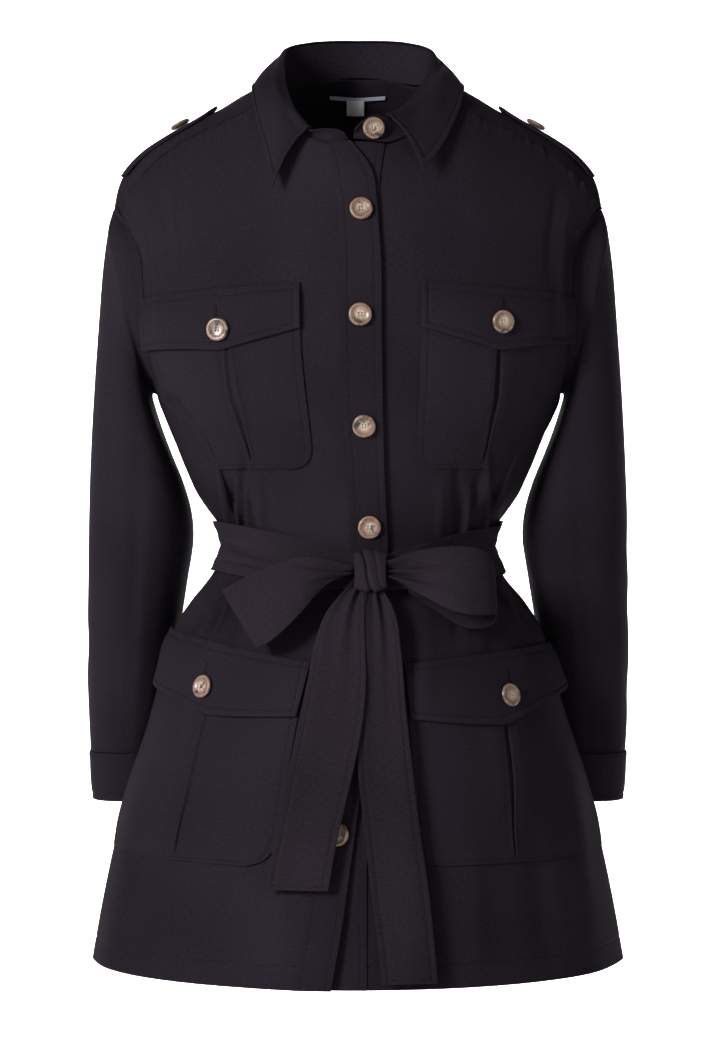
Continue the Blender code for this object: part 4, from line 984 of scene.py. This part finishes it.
# Neck tape and label
# A pale cotton tape covers the back neck seam, and a small white woven label hangs under it. The label is
# bare.
TAPE_WALL = 0.5
LABEL_WALL = 0.4
# The label has as many rows as columns, so the way round its edge is given: down first.
LABEL_RUNS = [(2, 0, 1), (2, 1, 0), (2, 0, -1), (2, -1, 0)]


def plain_weave(name, dark, light, yarn_mm):
    """Cotton tape, plain woven and pressed flat: a fine even grid of yarns with no shine."""
    finish, tree, shader = new_finish(name)
    place = add(tree, "UVMap", uv_map="weave")
    waves = {"Vector": place, "Scale": ONE_WAVE / (yarn_mm * MM)}
    warp = add(tree, "TexWave", waves, "Fac")
    weft = add(tree, "TexWave", waves, "Fac", bands_direction="Y")
    yarns = add(tree, "Math", {0: warp, 1: weft}, operation="MULTIPLY")
    colour = add(tree, "Mix", {0: yarns, 6: linear(dark), 7: linear(light)}, 2, data_type="RGBA")
    relief = add(tree, "Bump", {"Height": yarns, "Distance": 0.1 * MM, "Strength": 0.5})
    feed(tree, shader, {"Base Color": colour, "Normal": relief, "Roughness": 0.85})
    return finish


tape_cotton = plain_weave("neck_tape_cotton", "A3AEBE", "C3CCD8", 0.8)
label_satin = plain_weave("label_woven_white", "DEDEE0", "F4F4F5", 0.5)
behind = Vector((0, 0.3, 0))

tape = cloth(grid_of("neck_tape", TAPE_WALL, 4, 1, heart=behind), 1.0, 0.5)
hang("neck_tape_cloth", tape, TAPE_WALL, "neck_tape", "laid", finish=tape_cotton, slot="neck_tape")
label = cloth(grid_of("size_label", LABEL_WALL, 2, 2, heart=behind, runs=LABEL_RUNS), 0.8, 0.8)
hang("size_label_cloth", label, LABEL_WALL, "size_label", finish=label_satin, slot="size_label")


# Buttons
# Pressed imitation horn, 20 mm across: a thick rounded rim round a shallow dish with four holes, mottled
# brown, grey and cream under a polished face. The cream at the middle is partly the horn's own colour and
# partly a painted highlight, the broad shine of the dish. They are sewn on with pale brown thread.
HORN_BROWN = "85604C"
HORN_MID = "B09482"
# Pale cream of the middle: the horn's own cream with a painted highlight in it.
HORN_PALE_AND_HIGHLIGHT = "E4D2B9"
HORN_GREY = "8B8280"
HORN_SMOKE = "3E393B"
BUTTON_R = 10
HOLE_R = 0.65
HOLE_OFF = 1.8
DISH = 2.5
# The sheets whose buttonholes show above a button.
HOLES = {
    "button_breast_l": "breast_flap_l",
    "button_breast_r": "breast_flap_r",
    "button_hip_l": "hip_flap_l",
    "button_hip_r": "hip_flap_r",
}
# Profile of half a button: share of the radius, height in millimetres.
BUTTON_FACE = [
    (0.0, DISH), (0.4, 2.55), (0.56, 2.8), (0.66, 3.25), (0.75, 3.6), (0.84, 3.7), (0.92, 3.5),
    (0.97, 3.05), (1.0, 2.4), (0.98, 1.6), (0.9, 0.75), (0.78, 0.25), (0.6, 0.05), (0.0, 0.0),
]
# Horn from the middle of a button to its rim. The pale middle band holds a painted highlight of the dish.
HORN_AND_HIGHLIGHT_BANDS = [(0.38, HORN_PALE_AND_HIGHLIGHT), (0.6, HORN_MID), (0.8, HORN_BROWN), (0.9, HORN_MID), (1.0, HORN_BROWN)]


def horn(name):
    """Polyester horn imitation, cast in swirls and polished: pale cream at the middle, partly a painted highlight,
    brown at the rim.
    """
    finish, tree, shader = new_finish(name)
    place = add(tree, "TexCoord", out="Object")
    swirls = {"Vector": place, "Scale": 1 / (9 * MM), "Detail": 5.0, "Distortion": 1.4}
    cloud = add(tree, "TexNoise", swirls)
    patches = {"Vector": place, "Scale": 1 / (16 * MM), "Detail": 3.0, "Distortion": 2.0}
    patch = add(tree, "TexNoise", patches)
    grain = add(tree, "TexNoise", {"Vector": place, "Scale": 1 / (1.2 * MM), "Detail": 2.0})
    # Radial bands of colour: the pale middle band is partly a painted highlight.
    out = add(tree, "SeparateXYZ", {0: add(tree, "UVMap", uv_map="face")})
    reach = add(tree, "Math", {0: out, 1: 0.75}, operation="MULTIPLY")
    edge = add(tree, "Math", {0: cloud, 1: 0.5, 2: reach}, operation="MULTIPLY_ADD")
    banded_with_highlight = add(tree, "ValToRGB", {"Fac": edge})
    stops = banded_with_highlight.node.color_ramp.elements
    for k, (at, code) in enumerate(HORN_AND_HIGHLIGHT_BANDS):
        stop = stops[k] if k == 0 or k == len(HORN_AND_HIGHLIGHT_BANDS) - 1 else stops.new(at)
        stop.position = at
        stop.color = linear(code)
    milk = add(tree, "MapRange", {"Value": cloud, "From Min": 0.54, "From Max": 0.76})
    swirled = add(tree, "Mix", {0: milk, 6: banded_with_highlight, 7: linear(HORN_GREY)}, 2, data_type="RGBA")
    smoke = add(tree, "MapRange", {"Value": patch, "From Min": 0.55, "From Max": 0.66})
    mottled = add(tree, "Mix", {0: smoke, 6: swirled, 7: linear(HORN_SMOKE)}, 2, data_type="RGBA")
    flecks = {"Value": grain, "From Min": 0.35, "From Max": 0.7, "To Min": 0.75, "To Max": 1.1}
    fleck = add(tree, "MapRange", flecks)
    colour = add(tree, "VectorMath", {0: mottled, "Scale": fleck}, operation="SCALE")
    polish = {"Roughness": 0.36, "IOR": 1.55, "Coat Weight": 0.3, "Coat Roughness": 0.12}
    feed(tree, shader, {"Base Color": colour, **polish})
    return finish


imitation_horn = horn("imitation_horn_polished")
button_thread = thread("button_thread", "8E7C68", "B5A48C")


def turned_button():
    """One button at the origin with its face up, 10 mm in radius, its four holes cut through."""
    bm = bmesh.new()
    face = bm.loops.layers.uv.new("face")
    verts = [bm.verts.new((r * BUTTON_R, 0, h)) for r, h in BUTTON_FACE]
    edges = [bm.edges.new(pair) for pair in zip(verts, verts[1:])]
    bmesh.ops.spin(
        bm, geom=verts + edges, cent=(0, 0, 0), axis=(0, 0, 1), angle=math.tau, steps=48, use_merge=True,
        use_normal_flip=False, use_duplicate=False,
    )
    bmesh.ops.remove_doubles(bm, verts=bm.verts, dist=1e-3)
    bmesh.ops.recalc_face_normals(bm, faces=bm.faces)
    if bm.calc_volume(signed=True) < 0:
        bmesh.ops.reverse_faces(bm, faces=bm.faces)
    blank = bpy.data.objects.new("button blank", meshed("button body", bm))
    cutter = bmesh.new()
    for k in range(4):
        x = HOLE_OFF * math.cos(math.pi / 4 + k * math.pi / 2)
        y = HOLE_OFF * math.sin(math.pi / 4 + k * math.pi / 2)
        made = bmesh.ops.create_cone(
            cutter, cap_ends=True, segments=16, radius1=HOLE_R, radius2=HOLE_R, depth=12
        )
        bmesh.ops.translate(cutter, verts=made["verts"], vec=(x, y, 2))
    drill = bpy.data.objects.new("button drill", meshed("button holes", cutter))
    for o in (blank, drill):
        bpy.context.scene.collection.objects.link(o)
    cut = blank.modifiers.new("holes", "BOOLEAN")
    cut.object = drill
    cut.solver = "EXACT"
    bpy.context.view_layer.update()
    done = bpy.data.meshes.new_from_object(blank.evaluated_get(bpy.context.evaluated_depsgraph_get()))
    for o in (blank, drill):
        bpy.data.objects.remove(o)
    bm = bmesh.new()
    bm.from_mesh(done)
    face = bm.loops.layers.uv.get("face") or bm.loops.layers.uv.new("face")
    for f in bm.faces:
        for loop in f.loops:
            loop[face].uv = (math.hypot(loop.vert.co.x, loop.vert.co.y) / BUTTON_R, loop.vert.co.z / 4.2)
    return bm


def worked_hole(name, sheet, x, z, below, above):
    """Upright buttonhole through a sheet: a slit between two close rows of stitches."""
    far = (sheet.x - x) ** 2 + (sheet.z - z) ** 2
    j, i = np.unravel_index(far.argmin(), far.shape)
    across, down = sheet.u[j, i], sheet.v[j, i]
    run = np.linspace(down - above, down + below, 40)
    sides = [seam_line(sheet, across + off, run) for off in (-0.9, 0.9)]
    sew(name, sides, pitch=0.7, long=0.9, wide=1.3, high=0.5)


pattern = turned_button()
for node in sorted(n for n in frame["nodes"] if n.startswith("button")):
    own = np.array([v.co for v in frame["nodes"][node].data.vertices]) / MM
    own = np.unique(own.round(3), axis=0)
    middle = own.mean(0)
    if node in HOLES:
        worked_hole(node + "_hole", sheets[HOLES[node]], middle[0], middle[2], 3.0, 19.0)
    _, _, axes = np.linalg.svd(own - middle)
    up = Vector(axes[2])
    out = Vector((middle[0], middle[1], 0)) if "epaulette" not in node else Vector((0, 0, 1))
    if up.dot(out) < 0:
        up.negate()
    height = (own - middle) @ np.array(up)
    radius = np.linalg.norm((own - middle) - np.outer(height, np.array(up)), axis=1).max()
    foot = Vector(middle) + up * float(height.min())
    if "epaulette" not in node and "collar" not in node:
        foot += up * float(relief(FRONT_FOLDS, middle[:1], middle[2:])[0])
    turn = up.to_track_quat("Z", "Y").to_matrix().to_4x4()
    bm = pattern.copy()
    bmesh.ops.scale(bm, verts=bm.verts, vec=(radius / BUTTON_R, radius / BUTTON_R, 1))
    bmesh.ops.transform(bm, matrix=turn, verts=bm.verts)
    bmesh.ops.translate(bm, verts=bm.verts, vec=foot)
    bmesh.ops.scale(bm, verts=bm.verts, vec=(MM, MM, MM))
    piece = placed(node + "_horn", meshed(node, bm), imitation_horn)
    piece.data.set_sharp_from_angle(angle=math.radians(38))
    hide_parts(node)
    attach(piece, "root")
    # Two bars of thread, each from one hole to the next, in two strands.
    across = turn.to_3x3() @ Vector((HOLE_OFF * 0.707, 0, 0))
    along = turn.to_3x3() @ Vector((0, HOLE_OFF * 0.707, 0))
    lines = []
    for sign in (-1, 1):
        a = foot + up * DISH + across * sign - along
        b = foot + up * DISH + across * sign + along
        line = np.array([a.lerp(b, t) for t in np.linspace(0, 1, 8)])
        for shift in (-0.22, 0.22):
            lines.append((line + np.array(across.normalized()) * shift, np.tile(np.array(up), (8, 1))))
    sew(node + "_thread", lines, pitch=2.4, finish=button_thread, long=1.0, wide=0.36, high=0.4)
pattern.free()


# Studio
# A level camera about 2.4 m away, soft light from the upper left, and a pale floor that curves up behind.
CAMERA_AT = (1.8, -2400.0, -386.5)
FRAME_TALL = 938.7
SENSOR = 36.0

view = bpy.data.cameras.new("camera")
view.sensor_fit = "AUTO"
view.sensor_width = SENSOR
view.lens = SENSOR * -CAMERA_AT[1] / FRAME_TALL
camera = bpy.data.objects.new("camera", view)
camera.location = Vector(CAMERA_AT) * MM
camera.rotation_euler = (math.radians(90), 0, 0)
bpy.context.scene.collection.objects.link(camera)
bpy.context.scene.camera = camera

FLOOR_Z = -1.02
FLOOR_FRONT = -6.0
FLOOR_HALF = 7.0
SWEEP_Y = 4.0
SWEEP_R = 1.0
WALL_TOP = 3.5

bm = bmesh.new()
profile = [(FLOOR_FRONT, FLOOR_Z)]
profile += [
    (SWEEP_Y + SWEEP_R * math.sin(a), FLOOR_Z + SWEEP_R * (1 - math.cos(a)))
    for a in np.linspace(0, math.pi / 2, 17)
]
profile.append((SWEEP_Y + SWEEP_R, WALL_TOP))
verts = [bm.verts.new((-FLOOR_HALF, y, z)) for y, z in profile]
edges = [bm.edges.new(pair) for pair in zip(verts, verts[1:])]
made = bmesh.ops.extrude_edge_only(bm, edges=edges)
far = [g for g in made["geom"] if isinstance(g, bmesh.types.BMVert)]
bmesh.ops.translate(bm, verts=far, vec=(2 * FLOOR_HALF, 0, 0))
bmesh.ops.recalc_face_normals(bm, faces=bm.faces)
paper, tree, shader = new_finish("backdrop_paper")
feed(tree, shader, {"Base Color": linear("F4F4F4"), "Roughness": 0.9})
floor = placed("floor", meshed("floor", bm), paper)


def soft_light(name, at, size, watts, target=(0, 0, -0.38)):
    """Square soft box that faces the jacket or another point."""
    lamp = bpy.data.lights.new(name, "AREA")
    lamp.size = size
    lamp.energy = watts
    box = bpy.data.objects.new(name, lamp)
    box.location = at
    box.rotation_euler = (Vector(target) - Vector(at)).to_track_quat("-Z", "Y").to_euler()
    bpy.context.scene.collection.objects.link(box)


soft_light("key", (-1.9, -2.1, 0.45), 0.8, 69, (-0.05, 0, -0.2))
soft_light("fill", (2.2, -2.4, 0.1), 1.6, 7)
for x in (-1.3, 1.3):
    soft_light("backdrop light", (x, 0.7, 1.3), 1.2, 380, (x, 4.9, 0.2))
world = bpy.data.worlds.new("studio")
world.use_nodes = True
sky = world.node_tree.nodes["Background"]
feed(world.node_tree, sky, {"Color": linear("FFFFFF"), "Strength": 0.14})
bpy.context.scene.world = world
bpy.context.scene.view_settings.view_transform = "Standard"
